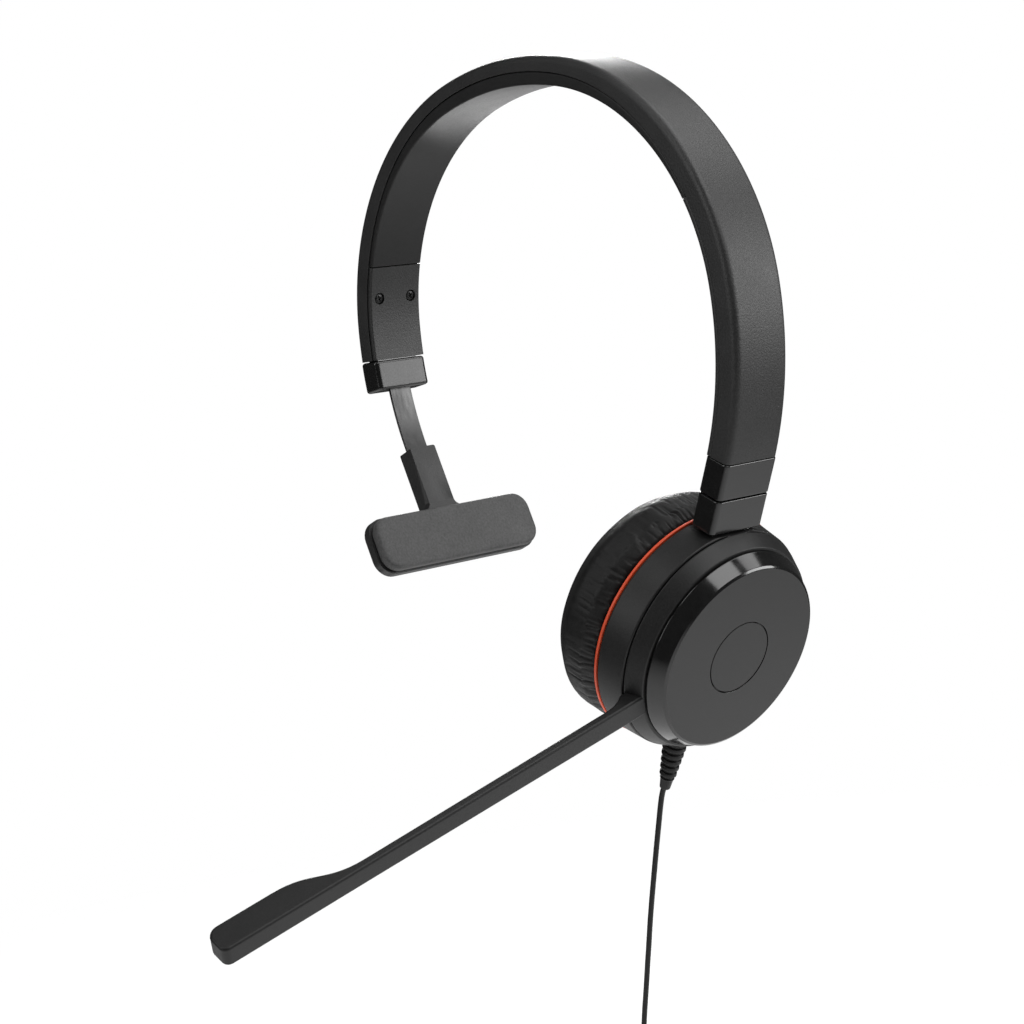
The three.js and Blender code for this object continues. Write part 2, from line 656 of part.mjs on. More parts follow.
function makeYoke(frame) {
  const top = -(GAP + COLLAR_RIGHT_LENGTH + YOKE_CLEARANCE);
  const bottom = top - YOKE_LENGTH;
  const outline = roundedRect(-halfBand, halfBand, -BAND_THICKNESS, 0, COLLAR_CORNER);
  const block = prism(outline, -top, -bottom, 0.35, 4).rotateX(Math.PI / 2);
  const pinY = PIN_HEIGHT - CUP_DROP;
  const middle = -BAND_THICKNESS / 2;
  const lugRoom = LUG_RADIUS + GAP;
  const tiltRoom = LUG_RADIUS + 2 * GAP;
  const pocket = box(
    -LUG_WIDTH / 2 - GAP, LUG_WIDTH / 2 + GAP,
    bottom - 1, pinY + lugRoom, middle - tiltRoom, middle + tiltRoom,
  );
  const blind = halfBand - PIN_COVER;
  const pinHole = rod(PIN_RADIUS + GAP, -blind, blind, 16)
    .rotateY(Math.PI / 2).translate(0, pinY, middle);
  addPiece(frame, 'yoke', cut(block, pocket, pinHole, into(frame, stripCutter('right'))), glossPlastic);

  const reach = blind - GAP;
  const pin = rod(PIN_RADIUS, -reach, reach, 16);
  addPiece(frame, 'yoke_pin', pin.rotateY(Math.PI / 2).translate(0, pinY, middle), steel);
}

// ---------------------------------------------------------------- ear cup

function makeHousing(cup) {
  const wall = HOUSING_WALL;
  const shelf = HOUSING_TOP + wall;
  const neckBore = NECK_RADIUS - wall;
  const grooveFloor = HOUSING_TOP + WASHER_THICKNESS + GAP;
  const bowl = turnedRing([
    [NECK_RADIUS, -NECK_TOP], [NECK_RADIUS, -HOUSING_TOP], [WASHER_INNER - GAP, -HOUSING_TOP],
    [WASHER_INNER - GAP, -grooveFloor], [WASHER_OUTER + GAP, -grooveFloor],
    [WASHER_OUTER + GAP, -HOUSING_TOP], [HOUSING_TOP_RADIUS - 0.4, -HOUSING_TOP],
    [HOUSING_TOP_RADIUS, -HOUSING_TOP - 0.4],
    [HOUSING_RIM_RADIUS, -HOUSING_RIM], [HOUSING_RIM_RADIUS - wall, -HOUSING_RIM],
    [HOUSING_TOP_RADIUS - wall, -shelf], [neckBore, -shelf], [neckBore, -NECK_TOP],
  ]);
  const middle = -(CUP_SET_BACK + BAND_THICKNESS / 2);
  const seatHalf = halfBand + GAP;
  const seat = box(-seatHalf, seatHalf, LAND_HEIGHT, LAND_HEIGHT + 9, -HOUSING_RIM - 1, -HOUSING_TOP);
  const underSeat = box(
    -halfBand + wall, halfBand - wall, LAND_HEIGHT - SEAT_DEPTH, LAND_HEIGHT + GAP,
    -HOUSING_RIM + BAFFLE_THICKNESS + GAP, -shelf + 0.5,
  );
  const lugHalf = LUG_WIDTH / 2;
  const lug = join(
    rod(LUG_RADIUS, -lugHalf, lugHalf, 16).rotateY(Math.PI / 2).translate(0, PIN_HEIGHT, middle),
    box(-lugHalf, lugHalf, LAND_HEIGHT - 1, PIN_HEIGHT, middle - LUG_RADIUS, middle + LUG_RADIUS),
  );
  const pinHole = rod(PIN_RADIUS + GAP, -halfBand, halfBand, 16)
    .rotateY(Math.PI / 2).translate(0, PIN_HEIGHT, middle);
  const reliefHole = rod(RELIEF_NECK_RADIUS + GAP, 0, 12, 20)
    .rotateX(Math.PI / 2).translate(0, -HOUSING_TOP_RADIUS + 5, -RELIEF_DEPTH);
  const housing = join(cut(join(bowl, underSeat), seat), lug);
  addPiece(cup, 'cup_housing', cut(housing, pinHole, reliefHole), softTouch);

  const washer = turnedRing([
    [WASHER_INNER, -HOUSING_TOP], [WASHER_INNER, -HOUSING_TOP - WASHER_THICKNESS],
    [WASHER_OUTER, -HOUSING_TOP - WASHER_THICKNESS], [WASHER_OUTER, -HOUSING_TOP],
  ], 28);
  addPiece(cup, 'boom_friction_washer', washer, rubber);
}

// Moves a geometry out along the cup's radius at an angle in degrees.
function atAngle(geometry, radius, angle) {
  return geometry.clone().translate(radius, 0, 0).rotateZ(angle * DEG);
}

// One copy of a geometry at each cover screw.
function atCoverScrews(geometry) {
  return COVER_SCREW_ANGLES.map((angle) => atAngle(geometry, COVER_SCREW_CIRCLE, angle));
}

function makeCover(cup) {
  const wall = COVER_WALL;
  const skirt = NECK_RADIUS - HOUSING_WALL - GAP;
  const recess = DISC_THICKNESS + 0.2;
  const skirtEnd = NECK_TOP + 1.4;
  const shell = turned([
    [0, -wall - recess], [skirt - wall, -wall - recess], [skirt - wall, -skirtEnd],
    [skirt, -skirtEnd], [skirt, -COVER_DEPTH], [COVER_RIM_RADIUS, -COVER_DEPTH],
    [COVER_FACE_RADIUS + 0.1, -COVER_BEVEL], [COVER_FACE_RADIUS - COVER_BEVEL, 0],
    [DISC_RADIUS + GAP, 0], [DISC_RADIUS + GAP, -recess], [0, -recess],
  ]);
  const posts = atCoverScrews(rod(COVER_POST_RADIUS, -BOARD_TOP + GAP, -wall, 14));
  const shank = SCREW_SHANK_RADIUS + GAP;
  const bores = atCoverScrews(rod(shank, -12, -4.2, 12));
  addPiece(cup, 'cover', cut(join(shell, ...posts), ...bores), satinPlastic);
  addPiece(cup, 'cover_disc', rod(DISC_RADIUS, -DISC_THICKNESS, 0, 36), satinPlastic);

  const boardBottom = BOARD_TOP + BOARD_THICKNESS;
  const board = rod(BOARD_RADIUS, -boardBottom, -BOARD_TOP, 32);
  addPiece(cup, 'circuit_board', cut(board, ...atCoverScrews(rod(shank, -20, 0, 12))), boardGreen);
  const screw = makeScrew(COVER_SCREW_LENGTH).rotateX(Math.PI).translate(0, 0, -boardBottom - 0.2);
  atCoverScrews(screw).forEach((placed, i) => {
    addPiece(cup, `cover_screw_${i + 1}`, placed, darkSteel);
  });
}

function makeSpeaker(cup) {
  const baffleTop = HOUSING_RIM - BAFFLE_THICKNESS;
  const baffleRadius = HOUSING_RIM_RADIUS - HOUSING_WALL - GAP - 0.2;
  const opening = SPEAKER_RADIUS - 1.4;
  const baffle = turnedRing([
    [opening, -baffleTop], [opening, -HOUSING_RIM],
    [baffleRadius, -HOUSING_RIM], [baffleRadius, -baffleTop],
  ], 40);
  const vents = [];
  for (let i = 0; i < VENT_COUNT; i += 1) {
    vents.push(atAngle(rod(VENT_RADIUS, -30, 0, 8), VENT_CIRCLE, (i + 0.5) * 360 / VENT_COUNT));
  }
  addPiece(cup, 'speaker_baffle', cut(baffle, ...vents), satinPlastic);

  const back = baffleTop - GAP; // the speaker hangs behind the baffle
  const basket = turnedRing([
    [SPEAKER_RADIUS, -back], [SPEAKER_RADIUS, -back + 1.2], [9.4, -back + 3.2], [9.4, -back + 4],
    [7.6, -back + 4], [7.6, -back + 2.6], [12.2, -back + 0.8], [12.2, -back],
  ], 20);
  addPiece(cup, 'speaker_basket', basket, satinPlastic);
  const cupFloor = -back + 6.6;
  const cupWall = 0.8;
  const magnetCup = turned([
    [0, cupFloor], [MAGNET_CUP_RADIUS, cupFloor], [MAGNET_CUP_RADIUS, -back + 1.6],
    [MAGNET_CUP_RADIUS - cupWall, -back + 1.6], [MAGNET_CUP_RADIUS - cupWall, cupFloor - 0.9],
    [0, cupFloor - 0.9],
  ], 20);
  addPiece(cup, 'speaker_magnet_cup', magnetCup, darkSteel);
  addPiece(cup, 'speaker_magnet', rod(MAGNET_RADIUS, -back + 2.2, cupFloor - 1.2, 24), nickel);
  const coil = turnedRing([
    [MAGNET_RADIUS + GAP, -back + 1.2], [MAGNET_RADIUS + GAP, -back + 3.6],
    [VOICE_COIL_RADIUS, -back + 3.6], [VOICE_COIL_RADIUS, -back + 1.2],
  ], 20);
  addPiece(cup, 'voice_coil', coil, copper);
  const diaphragm = turned([
    [0, -back - 0.5], [3, -back - 0.2], [5.6, -back + 0.7], [8.4, -back - 0.1], [11.8, -back + 0.3],
    [11.8, -back + 0.6], [8.4, -back + 0.2], [5.6, -back + 1], [3, -back + 0.1], [0, -back - 0.2],
  ], 20);
  addPiece(cup, 'speaker_diaphragm', diaphragm, film);
}

function makeCushion(cup) {
  const trim = turnedRing([
    [TRIM_RADIUS - TRIM_WIDTH, -TRIM_TOP], [TRIM_RADIUS - TRIM_WIDTH, -TRIM_TOP - TRIM_THICKNESS],
    [TRIM_RADIUS, -TRIM_TOP - TRIM_THICKNESS], [TRIM_RADIUS, -TRIM_TOP],
  ], 40);
  addPiece(cup, 'trim_ring', trim, orange);

  const plateBottom = CUSHION_PLATE_TOP + CUSHION_PLATE_THICKNESS;
  const plate = turnedRing([
    [CUSHION_HOLE_RADIUS, -CUSHION_PLATE_TOP], [CUSHION_HOLE_RADIUS, -plateBottom],
    [CUSHION_PLATE_RADIUS, -plateBottom], [CUSHION_PLATE_RADIUS, -CUSHION_PLATE_TOP],
  ], 28);
  addPiece(cup, 'cushion_plate', plate, satinPlastic);

  const top = CUSHION_TOP;
  const bottom = CUSHION_TOP + CUSHION_DEPTH;
  const inner = CUSHION_HOLE_RADIUS;
  const outer = CUSHION_RADIUS;
  const cushion = turnedRing([
    [inner + 2, -top], [outer - 4, -top], [outer - 1.4, -top - 2], [outer - 0.3, -top - 6],
    [outer, -bottom + 6], [outer - 3.4, -bottom + 1.2], [outer - 8, -bottom],
    [inner + 3.6, -bottom + 0.6], [inner + 0.8, -bottom + 3.4], [inner, -bottom + 7],
    [inner + 0.6, -top - 1.2],
  ], 40);
  addPiece(cup, 'ear_cushion', cushion, leatherette);

  const scrim = rod(CUSHION_HOLE_RADIUS - 0.5, -plateBottom - 1.2, -plateBottom, 32);
  addPiece(cup, 'speaker_scrim', scrim, fabric);
}

// ---------------------------------------------------------------- boom and microphone

function makeBoom(cup) {
  const boom = new THREE.Group();
  boom.rotation.z = Math.PI + BOOM_ANGLE * DEG;
  cup.add(boom);

  const bore = NECK_RADIUS + GAP;
  const ring = turnedRing([
    [bore, -RING_TOP], [bore, -RING_BOTTOM], [RING_BOTTOM_RADIUS, -RING_BOTTOM],
    [RING_BOTTOM_RADIUS, -RING_BOTTOM + 0.3], [RING_TOP_RADIUS, -RING_TOP - 0.3],
    [RING_TOP_RADIUS - 0.3, -RING_TOP],
  ]);
  const rootHalf = BOOM_ROOT_HEIGHT / 2;
  const boss = box(
    bore + 1.5, BOOM_ROOT - GAP, BOOM_OFFSET - rootHalf, BOOM_OFFSET + rootHalf,
    -RING_BOTTOM, -BOOM_FRONT,
  );
  addPiece(boom, 'boom_ring', join(ring, boss), softTouch);

  const front = -BOOM_FRONT;
  const armBack = front - BOOM_THICKNESS;
  const podBack = front - POD_THICKNESS;
  const bend = (POD_FULL - POD_START) / 2;
  const tip = POD_TIP_RADIUS;
  const nose = POD_FRONT_RADIUS;
  const side = new THREE.Shape();
  side.moveTo(BOOM_ROOT, front);
  side.lineTo(BOOM_ROOT, -RING_BOTTOM + 0.1);
  side.bezierCurveTo(BOOM_ROOT + 3, armBack, BOOM_ROOT + 5, armBack, BOOM_ROOT + 9, armBack);
  side.lineTo(POD_START, armBack);
  side.bezierCurveTo(POD_START + bend, armBack, POD_FULL - bend, podBack, POD_FULL, podBack);
  side.lineTo(BOOM_TIP - tip, podBack);
  side.absarc(BOOM_TIP - tip, podBack + tip, tip, -Math.PI / 2, 0, false);
  side.lineTo(BOOM_TIP, front - nose);
  side.absarc(BOOM_TIP - nose, front - nose, nose, 0, Math.PI / 2, false);
  const endHalf = BOOM_END_HEIGHT / 2;
  const bar = prism(side, -endHalf, endHalf, BOOM_EDGE, 8).rotateX(Math.PI / 2);
  const growth = BOOM_ROOT_HEIGHT / BOOM_END_HEIGHT - 1;
  const position = bar.getAttribute('position');
  for (let i = 0; i < position.count; i += 1) {
    // the bar grows taller towards its root
    const run = (POD_START - position.getX(i)) / (POD_START - BOOM_ROOT);
    const share = THREE.MathUtils.clamp(run, 0, 1);
    position.setY(i, position.getY(i) * (1 + share * growth));
  }
  const arm = new THREE.Group();
  arm.position.y = BOOM_OFFSET;
  boom.add(arm);
  const roomHalf = endHalf - POD_WALL;
  const roomEnd = BOOM_TIP - 4;
  const room = box(POD_FULL - 8, roomEnd, -roomHalf, roomHalf, podBack - 1, front - 1.5);
  addPiece(arm, 'boom_arm', cut(bar, room), softTouch);

  const lidFrom = POD_FULL - 2;
  const lidHalf = roomHalf - GAP;
  const port = rod(PORT_RADIUS, -20, 0, 10);
  const ports = [-1, 0, 1].map((i) => port.clone().translate(CAPSULE_AT + i * PORT_SPACING, 0, 0));
  const lid = cut(box(lidFrom, roomEnd - GAP, -lidHalf, lidHalf, podBack, podBack + 1), ...ports);
  addPiece(arm, 'microphone_pod_cover', lid, softTouch);
  const mesh = box(CAPSULE_AT - 4, CAPSULE_AT + 4, -1.3, 1.3, podBack + 1.3, podBack + 1.6);
  addPiece(arm, 'microphone_mesh', mesh, darkSteel);
  const capsule = rod(CAPSULE_RADIUS, 0, 1.6, 20).translate(CAPSULE_AT, 0, podBack + 1.9);
  addPiece(arm, 'microphone_capsule', capsule, nickel);
  const boot = box(CAPSULE_AT - 5, CAPSULE_AT + 5, -1.5, 1.5, podBack + 3.8, podBack + 5.6);
  addPiece(arm, 'microphone_boot', boot, rubber);
}

// ---------------------------------------------------------------- strain relief, cord and plug

function makeStrainRelief(cup) {
  const root = -HOUSING_TOP_RADIUS + 1;
  const flangeTop = root + 1.4;
  const start = HOUSING_RIM_RADIUS + 0.3;
  const length = RELIEF_TIP - start;
  const profile = [
    [0, flangeTop], [RELIEF_NECK_RADIUS, flangeTop], [RELIEF_NECK_RADIUS, -start],
    [RELIEF_RADIUS, -start],
  ];
  const ribbed = length * 0.72;
  const pitch = ribbed / RELIEF_RIBS;
  const groove = 0.6;
  for (let i = 0; i < RELIEF_RIBS; i += 1) {
    const radius = THREE.MathUtils.lerp(RELIEF_RADIUS, RELIEF_TIP_RADIUS + 0.8, i / RELIEF_RIBS);
    const y = -start - pitch * i;
    profile.push(
      [radius, y - pitch * 0.55], [radius - groove, y - pitch * 0.65],
      [radius - groove, y - pitch * 0.95],
    );
  }
  profile.push(
    [RELIEF_TIP_RADIUS + 0.5, -start - ribbed], [RELIEF_TIP_RADIUS, -RELIEF_TIP + 0.4],
    [RELIEF_TIP_RADIUS - 0.3, -RELIEF_TIP], [0, -RELIEF_TIP],
  );
  const relief = turned(profile, 14).rotateX(-Math.PI / 2).translate(0, 0, -RELIEF_DEPTH);
  addPiece(cup, 'strain_relief', relief, rubber);
}

function tube(route, diameter, steps, sides = 8) {
  const section = new THREE.Shape();
  for (let i = 0; i < sides; i += 1) {
    const angle = (i + 0.5) * 2 * Math.PI / sides;
    const [x, y] = [Math.cos(angle) * diameter / 2, Math.sin(angle) * diameter / 2];
    if (i === 0) section.moveTo(x, y);
    else section.lineTo(x, y);
  }
  const points = route.map(([x, y, z]) => new THREE.Vector3(x, y, z));
  return sweep(section, new THREE.CatmullRomCurve3(points), steps, 1);
}

function makeCord(hung) {
  addPiece(hung, 'cord', tube(CORD_ROUTE, CORD_DIAMETER, 26), rubber);
  addPiece(hung, 'cord_tail', tube(TAIL_ROUTE, CORD_DIAMETER, 5), rubber);

  const inner = COIL_MIDDLE_RADIUS - COIL_SECTION / 2;
  const outer = COIL_MIDDLE_RADIUS + COIL_SECTION / 2;
  const half = COIL_WIDTH / 2;
  const edge = COIL_EDGE;
  const coil = turnedRing([
    [inner, -half + edge], [inner + edge, -half], [outer - edge, -half], [outer, -half + edge],
    [outer, half - edge], [outer - edge, half], [inner + edge, half], [inner, half - edge],
  ], 24);
  const { x, y, z } = COIL_CENTRE;
  addPiece(hung, 'cord_coil', coil.rotateX(Math.PI / 2).translate(x, y, z), rubber);

  const wall = TIE_THICKNESS;
  const low = inner - TIE_CLEARANCE;
  const high = outer + GAP;
  const side = half + GAP;
  const loop = roundedRect(low - wall, high + wall, -side - wall, side + wall, 1);
  loop.holes.push(roundedRect(low, high, -side, side, 0.4));
  const tie = prism(loop, -TIE_WIDTH / 2, TIE_WIDTH / 2, 0, 2).rotateY(-TIE_ANGLE * DEG);
  addPiece(hung, 'cord_tie', tie.translate(x, y, z), rubber);
}

// A four-pole 3.5 mm plug that points down from its cord.
function makePlug(hung) {
  const [x, y, z] = TAIL_ROUTE[TAIL_ROUTE.length - 1];
  const plug = new THREE.Group();
  plug.position.set(x, y, z - GAP);
  hung.add(plug);
  const end = -PLUG_GRIP_LENGTH;
  const grip = turned([
    [0, 0], [CORD_DIAMETER / 2 + 0.6, 0], [CORD_DIAMETER / 2 + 1, -5], [PLUG_GRIP_RADIUS - 0.8, -7.5],
    [PLUG_GRIP_RADIUS, -9.5], [PLUG_GRIP_RADIUS, end + 1.4], [PLUG_GRIP_RADIUS - 0.8, end], [0, end],
  ], 18);
  addPiece(plug, 'plug_grip', grip, rubber);
  const shaft = PLUG_SHAFT_RADIUS;
  const bore = PLUG_CORE_RADIUS + GAP;
  let top = end - GAP;
  for (const [name, length] of Object.entries(PLUG_POLES)) {
    const pole = turnedRing([[bore, top], [bore, top - length], [shaft, top - length], [shaft, top]], 14);
    addPiece(plug, `plug_${name}`, pole, nickel);
    top -= length + PLUG_BAND;
  }
  addPiece(plug, 'plug_tip', turned([
    [0, top], [shaft, top], [shaft, top - 0.7], [1.15, top - 1.5], [1.7, top - 2.4],
    [1.2, top - 3.4], [0.4, top - 3.9], [0, top - 3.9],
  ], 14), nickel);
  const insulator = rod(PLUG_CORE_RADIUS, top + GAP, end - GAP, 12);
  addPiece(plug, 'plug_insulator', insulator, satinPlastic);
}

// ---------------------------------------------------------------- the headset

const headset = new THREE.Group();
makeHeadband(headset);
makeSlider(headset, 'left');
makeSlider(headset, 'right');
makeLeftCollar(headset);
makeTemplePad(headset);

const yokeFrame = endFrame(BAND_ARC_RIGHT, YOKE_CANT);
headset.add(yokeFrame);
makeRightCollar(yokeFrame);
makeYoke(yokeFrame);

const cup = cupFrame(yokeFrame);
makeHousing(cup);
makeCover(cup);
makeSpeaker(cup);
makeCushion(cup);
makeBoom(cup);
makeStrainRelief(cup);

// The cord and the plug hang from the strain relief's tip.
const hung = new THREE.Group();
hung.position.copy(cup.localToWorld(new THREE.Vector3(0, -RELIEF_TIP, -RELIEF_DEPTH)));
headset.add(hung);
makeCord(hung);
makePlug(hung);

export default headset;
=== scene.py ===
"""Office headset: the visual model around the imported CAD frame.

Sizes are in millimetres until a mesh is made. The floor, the lights and the grain of the materials are in metres.
"""
import json
import math

import bmesh
import bpy
from mathutils import Matrix, Vector, noise

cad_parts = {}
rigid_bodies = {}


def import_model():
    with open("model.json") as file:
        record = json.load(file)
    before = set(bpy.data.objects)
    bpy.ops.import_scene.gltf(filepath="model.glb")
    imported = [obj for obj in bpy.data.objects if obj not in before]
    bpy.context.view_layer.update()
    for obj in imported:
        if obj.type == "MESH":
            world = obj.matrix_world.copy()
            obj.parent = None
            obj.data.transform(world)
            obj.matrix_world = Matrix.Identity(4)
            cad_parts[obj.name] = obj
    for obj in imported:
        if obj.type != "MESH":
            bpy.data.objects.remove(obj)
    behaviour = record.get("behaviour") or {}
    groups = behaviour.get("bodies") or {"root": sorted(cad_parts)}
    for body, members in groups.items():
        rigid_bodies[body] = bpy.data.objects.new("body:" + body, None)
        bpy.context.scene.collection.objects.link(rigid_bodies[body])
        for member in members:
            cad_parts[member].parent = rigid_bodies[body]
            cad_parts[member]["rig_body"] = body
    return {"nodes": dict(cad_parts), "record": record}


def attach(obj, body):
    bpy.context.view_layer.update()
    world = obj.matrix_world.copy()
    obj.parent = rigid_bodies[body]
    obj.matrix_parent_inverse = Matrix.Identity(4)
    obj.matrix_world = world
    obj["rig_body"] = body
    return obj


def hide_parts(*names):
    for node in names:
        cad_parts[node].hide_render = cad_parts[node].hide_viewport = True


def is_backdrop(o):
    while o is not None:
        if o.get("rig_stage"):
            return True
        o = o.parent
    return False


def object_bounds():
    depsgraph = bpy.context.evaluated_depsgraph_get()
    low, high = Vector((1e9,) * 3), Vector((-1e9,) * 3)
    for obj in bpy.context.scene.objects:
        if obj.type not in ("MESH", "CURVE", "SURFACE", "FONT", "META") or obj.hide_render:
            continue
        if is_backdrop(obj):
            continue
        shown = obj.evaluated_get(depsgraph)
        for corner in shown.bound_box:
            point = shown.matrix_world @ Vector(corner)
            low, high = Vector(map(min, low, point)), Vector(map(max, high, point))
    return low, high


scene = bpy.context.scene
for left_over in list(bpy.data.objects):
    bpy.data.objects.remove(left_over)

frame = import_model()
cad_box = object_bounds()

MM = 0.001
DEG = math.pi / 180
GAP = 0.3  # between pieces that fit together without touching

# ------------------------------------------------------------------ sizes shared with the CAD model

BAND_WIDTH = 19
BAND_THICKNESS = 7.9
CROWN_RADIUS = 106
CROWN_ARC = 25
SHOULDER_RADIUS = 72
SHOULDER_ARC = 91.5
LIMB_RADIUS = 97
BAND_ARC_LEFT = 126.8
BAND_ARC_RIGHT = 163.5
PLATE_ARC_LEFT = 31
PLATE_ARC_RIGHT = 73.5
LINER_THICKNESS = 1.6
SHELL_WALL = 1.5
SHELL_SIDE_WALL = 1.7
SCREW_SPREAD = 5.9
SCREW_INSET = 10.7
SCREW_INSET_LOW = 13.5
SCREW_HEAD_RADIUS = 1.5
SCREW_HEAD_HEIGHT = 0.75
SCREW_SHANK_RADIUS = 0.7
STRIP_WIDTH = 8
STRIP_THICKNESS = 0.8
STRIP_DEPTH = 4.7
STRIP_HELD = 10
TRAVEL_RIGHT = 28
TRAVEL_LEFT_OUT = 12
STRIP_SHOWN_LEFT = 20.8
STRIP_SEAT = 10
COLLAR_LEFT_LENGTH = 9.6
COLLAR_RIGHT_LENGTH = 10
COLLAR_SPIGOT = 6
COLLAR_CORNER = 1.6
ARM_WIDTH = 9.4
ARM_THICKNESS = 6
ARM_TO_PAD = 28.6
BACKING_LENGTH = 60
BACKING_HEIGHT = 17.4
BACKING_THICKNESS = 2.7
BACKING_CORNER = 5.5
PAD_LENGTH = 57.4
PAD_HEIGHT = 15.2
PAD_THICKNESS = 3.4
PAD_CORNER = 4.6
YOKE_CANT = 1.4
YOKE_LENGTH = 9.4
YOKE_CLEARANCE = 0.4
YOKE_GRIP = 3.6
CUP_DROP = 52.3
CUP_SET_BACK = 10.7
PIN_HEIGHT = 34.6
PIN_RADIUS = 1
PIN_COVER = 0.9
LUG_RADIUS = 2
LUG_WIDTH = 8.4
COVER_FACE_RADIUS = 26.5
COVER_RIM_RADIUS = 28.9
COVER_DEPTH = 4.9
DISC_RADIUS = 10.2
DISC_THICKNESS = 0.6
RING_TOP = 5.2
RING_BOTTOM = 10.1
RING_TOP_RADIUS = 29.5
RING_BOTTOM_RADIUS = 31.9
NECK_RADIUS = 26.2
NECK_TOP = 5.6
HOUSING_TOP = 10.4
HOUSING_TOP_RADIUS = 32.1
HOUSING_RIM = 19.2
HOUSING_RIM_RADIUS = 32.9
HOUSING_WALL = 1.8
LAND_HEIGHT = 31.4
TRIM_TOP = 19.5
TRIM_THICKNESS = 0.8
TRIM_RADIUS = 33.1
TRIM_WIDTH = 2.2
CUSHION_RADIUS = 33.8
CUSHION_HOLE_RADIUS = 15
CUSHION_TOP = 21.9
CUSHION_DEPTH = 17.6
BOOM_ANGLE = 17.5
BOOM_OFFSET = 2.6
BOOM_ROOT = 33.2
BOOM_TIP = 158.8
BOOM_ROOT_HEIGHT = 6.4
BOOM_END_HEIGHT = 5.6
BOOM_FRONT = 5.2
BOOM_THICKNESS = 2.5
POD_START = 117
POD_FULL = 140
POD_THICKNESS = 8.4
POD_WALL = 0.9
CAPSULE_AT = 148
RELIEF_DEPTH = 15
RELIEF_TIP = 49.5
RELIEF_RADIUS = 3.6
RELIEF_TIP_RADIUS = 1.5
RELIEF_NECK_RADIUS = 2.5
CORD_DIAMETER = 1.6
CORD_ROUTE = [
    (23.0, 0, -196.7), (21.3, 0, -201.5), (19.9, 0, -206.3), (18.4, 0, -211.2), (16.9, 0, -216.3),
    (15.4, 0, -221.5), (13.9, 0, -226.7), (12.4, 0, -232.0), (11.0, 0, -237.3), (9.7, 0, -242.7),
    (8.3, 0, -248.1), (7.0, 0, -253.4), (5.7, 0, -258.5), (4.4, 0, -263.5), (3.3, 0, -268.3),
    (2.4, 0, -273.0), (1.75, 0, -277.7), (1.4, 0, -282.4), (1.25, 0, -287.0), (1.25, 0, -291.0),
]
COIL_CENTRE = (12.5, 4.15, -294)
COIL_MIDDLE_RADIUS = 9.6
COIL_PITCH = 1.65
COIL_COLUMNS = 6
COIL_LAYERS = 3
COIL_SECTION = 5.4
COIL_WIDTH = 10.2
TIE_WIDTH = 3
TIE_THICKNESS = 0.7
TIE_ANGLE = 60
TAIL_ROUTE = [
    (1.25, 8.3, -298.5), (1.25, 8.3, -303.0), (1.25, 8.3, -308.0), (1.3, 8.2, -313.0), (1.35, 8.0, -317.0),
]
PLUG_GRIP_LENGTH = 24
PLUG_GRIP_RADIUS = 3.6
PLUG_SHAFT_RADIUS = 1.75

# ------------------------------------------------------------------ sizes of the visual model alone

CROWN_PADDING = 2.1  # how far the seam on the band's sides rises at the crown
SEAM = 0.1
FOAM_OVERHANG = 0.65
SCREW_LENGTH = 3.2
PORT_RADIUS = 0.7
PORT_PITCH = 2.4
CORD_ROOT = (24.7, 0, -194.6)  # inside the strain relief
BAND_STEP = 1.6
COLLAR_STEP = 1.2
FINE_TURN = 192  # sides of the cup's large turned pieces
CUSHION_TURN = 540
SMALL_TURN = 40
PIN_TURN = 32

half_band = BAND_WIDTH / 2
liner_top = BAND_THICKNESS - LINER_THICKNESS
plate_left_start = -(BAND_ARC_LEFT - PLATE_ARC_LEFT)
plate_right_start = BAND_ARC_RIGHT - PLATE_ARC_RIGHT
left_arm_top = -(BAND_ARC_LEFT + GAP + COLLAR_LEFT_LENGTH + STRIP_SHOWN_LEFT)

# ------------------------------------------------------------------ camera

CAMERA_AT = (470.5, -408.7, -61.3)
CAMERA_RIGHT = (0.6379, 0.7606, -0.1208)
CAMERA_BACK = (0.7701, -0.6318, 0.0885)
CAMERA_LENS = 78.0


def make_camera():
    back = Vector(CAMERA_BACK).normalized()
    right = Vector(CAMERA_RIGHT)
    right = (right - back * right.dot(back)).normalized()
    up = back.cross(right)
    camera = bpy.data.objects.new("camera", bpy.data.cameras.new("camera"))
    camera.data.lens = CAMERA_LENS
    camera.data.sensor_width = 36
    camera.data.clip_start = 0.01
    placed = Matrix((right, up, back)).transposed().to_4x4()
    placed.translation = Vector(CAMERA_AT) * MM
    camera.matrix_world = placed
    scene.collection.objects.link(camera)
    scene.camera = camera


make_camera()

# ------------------------------------------------------------------ node materials


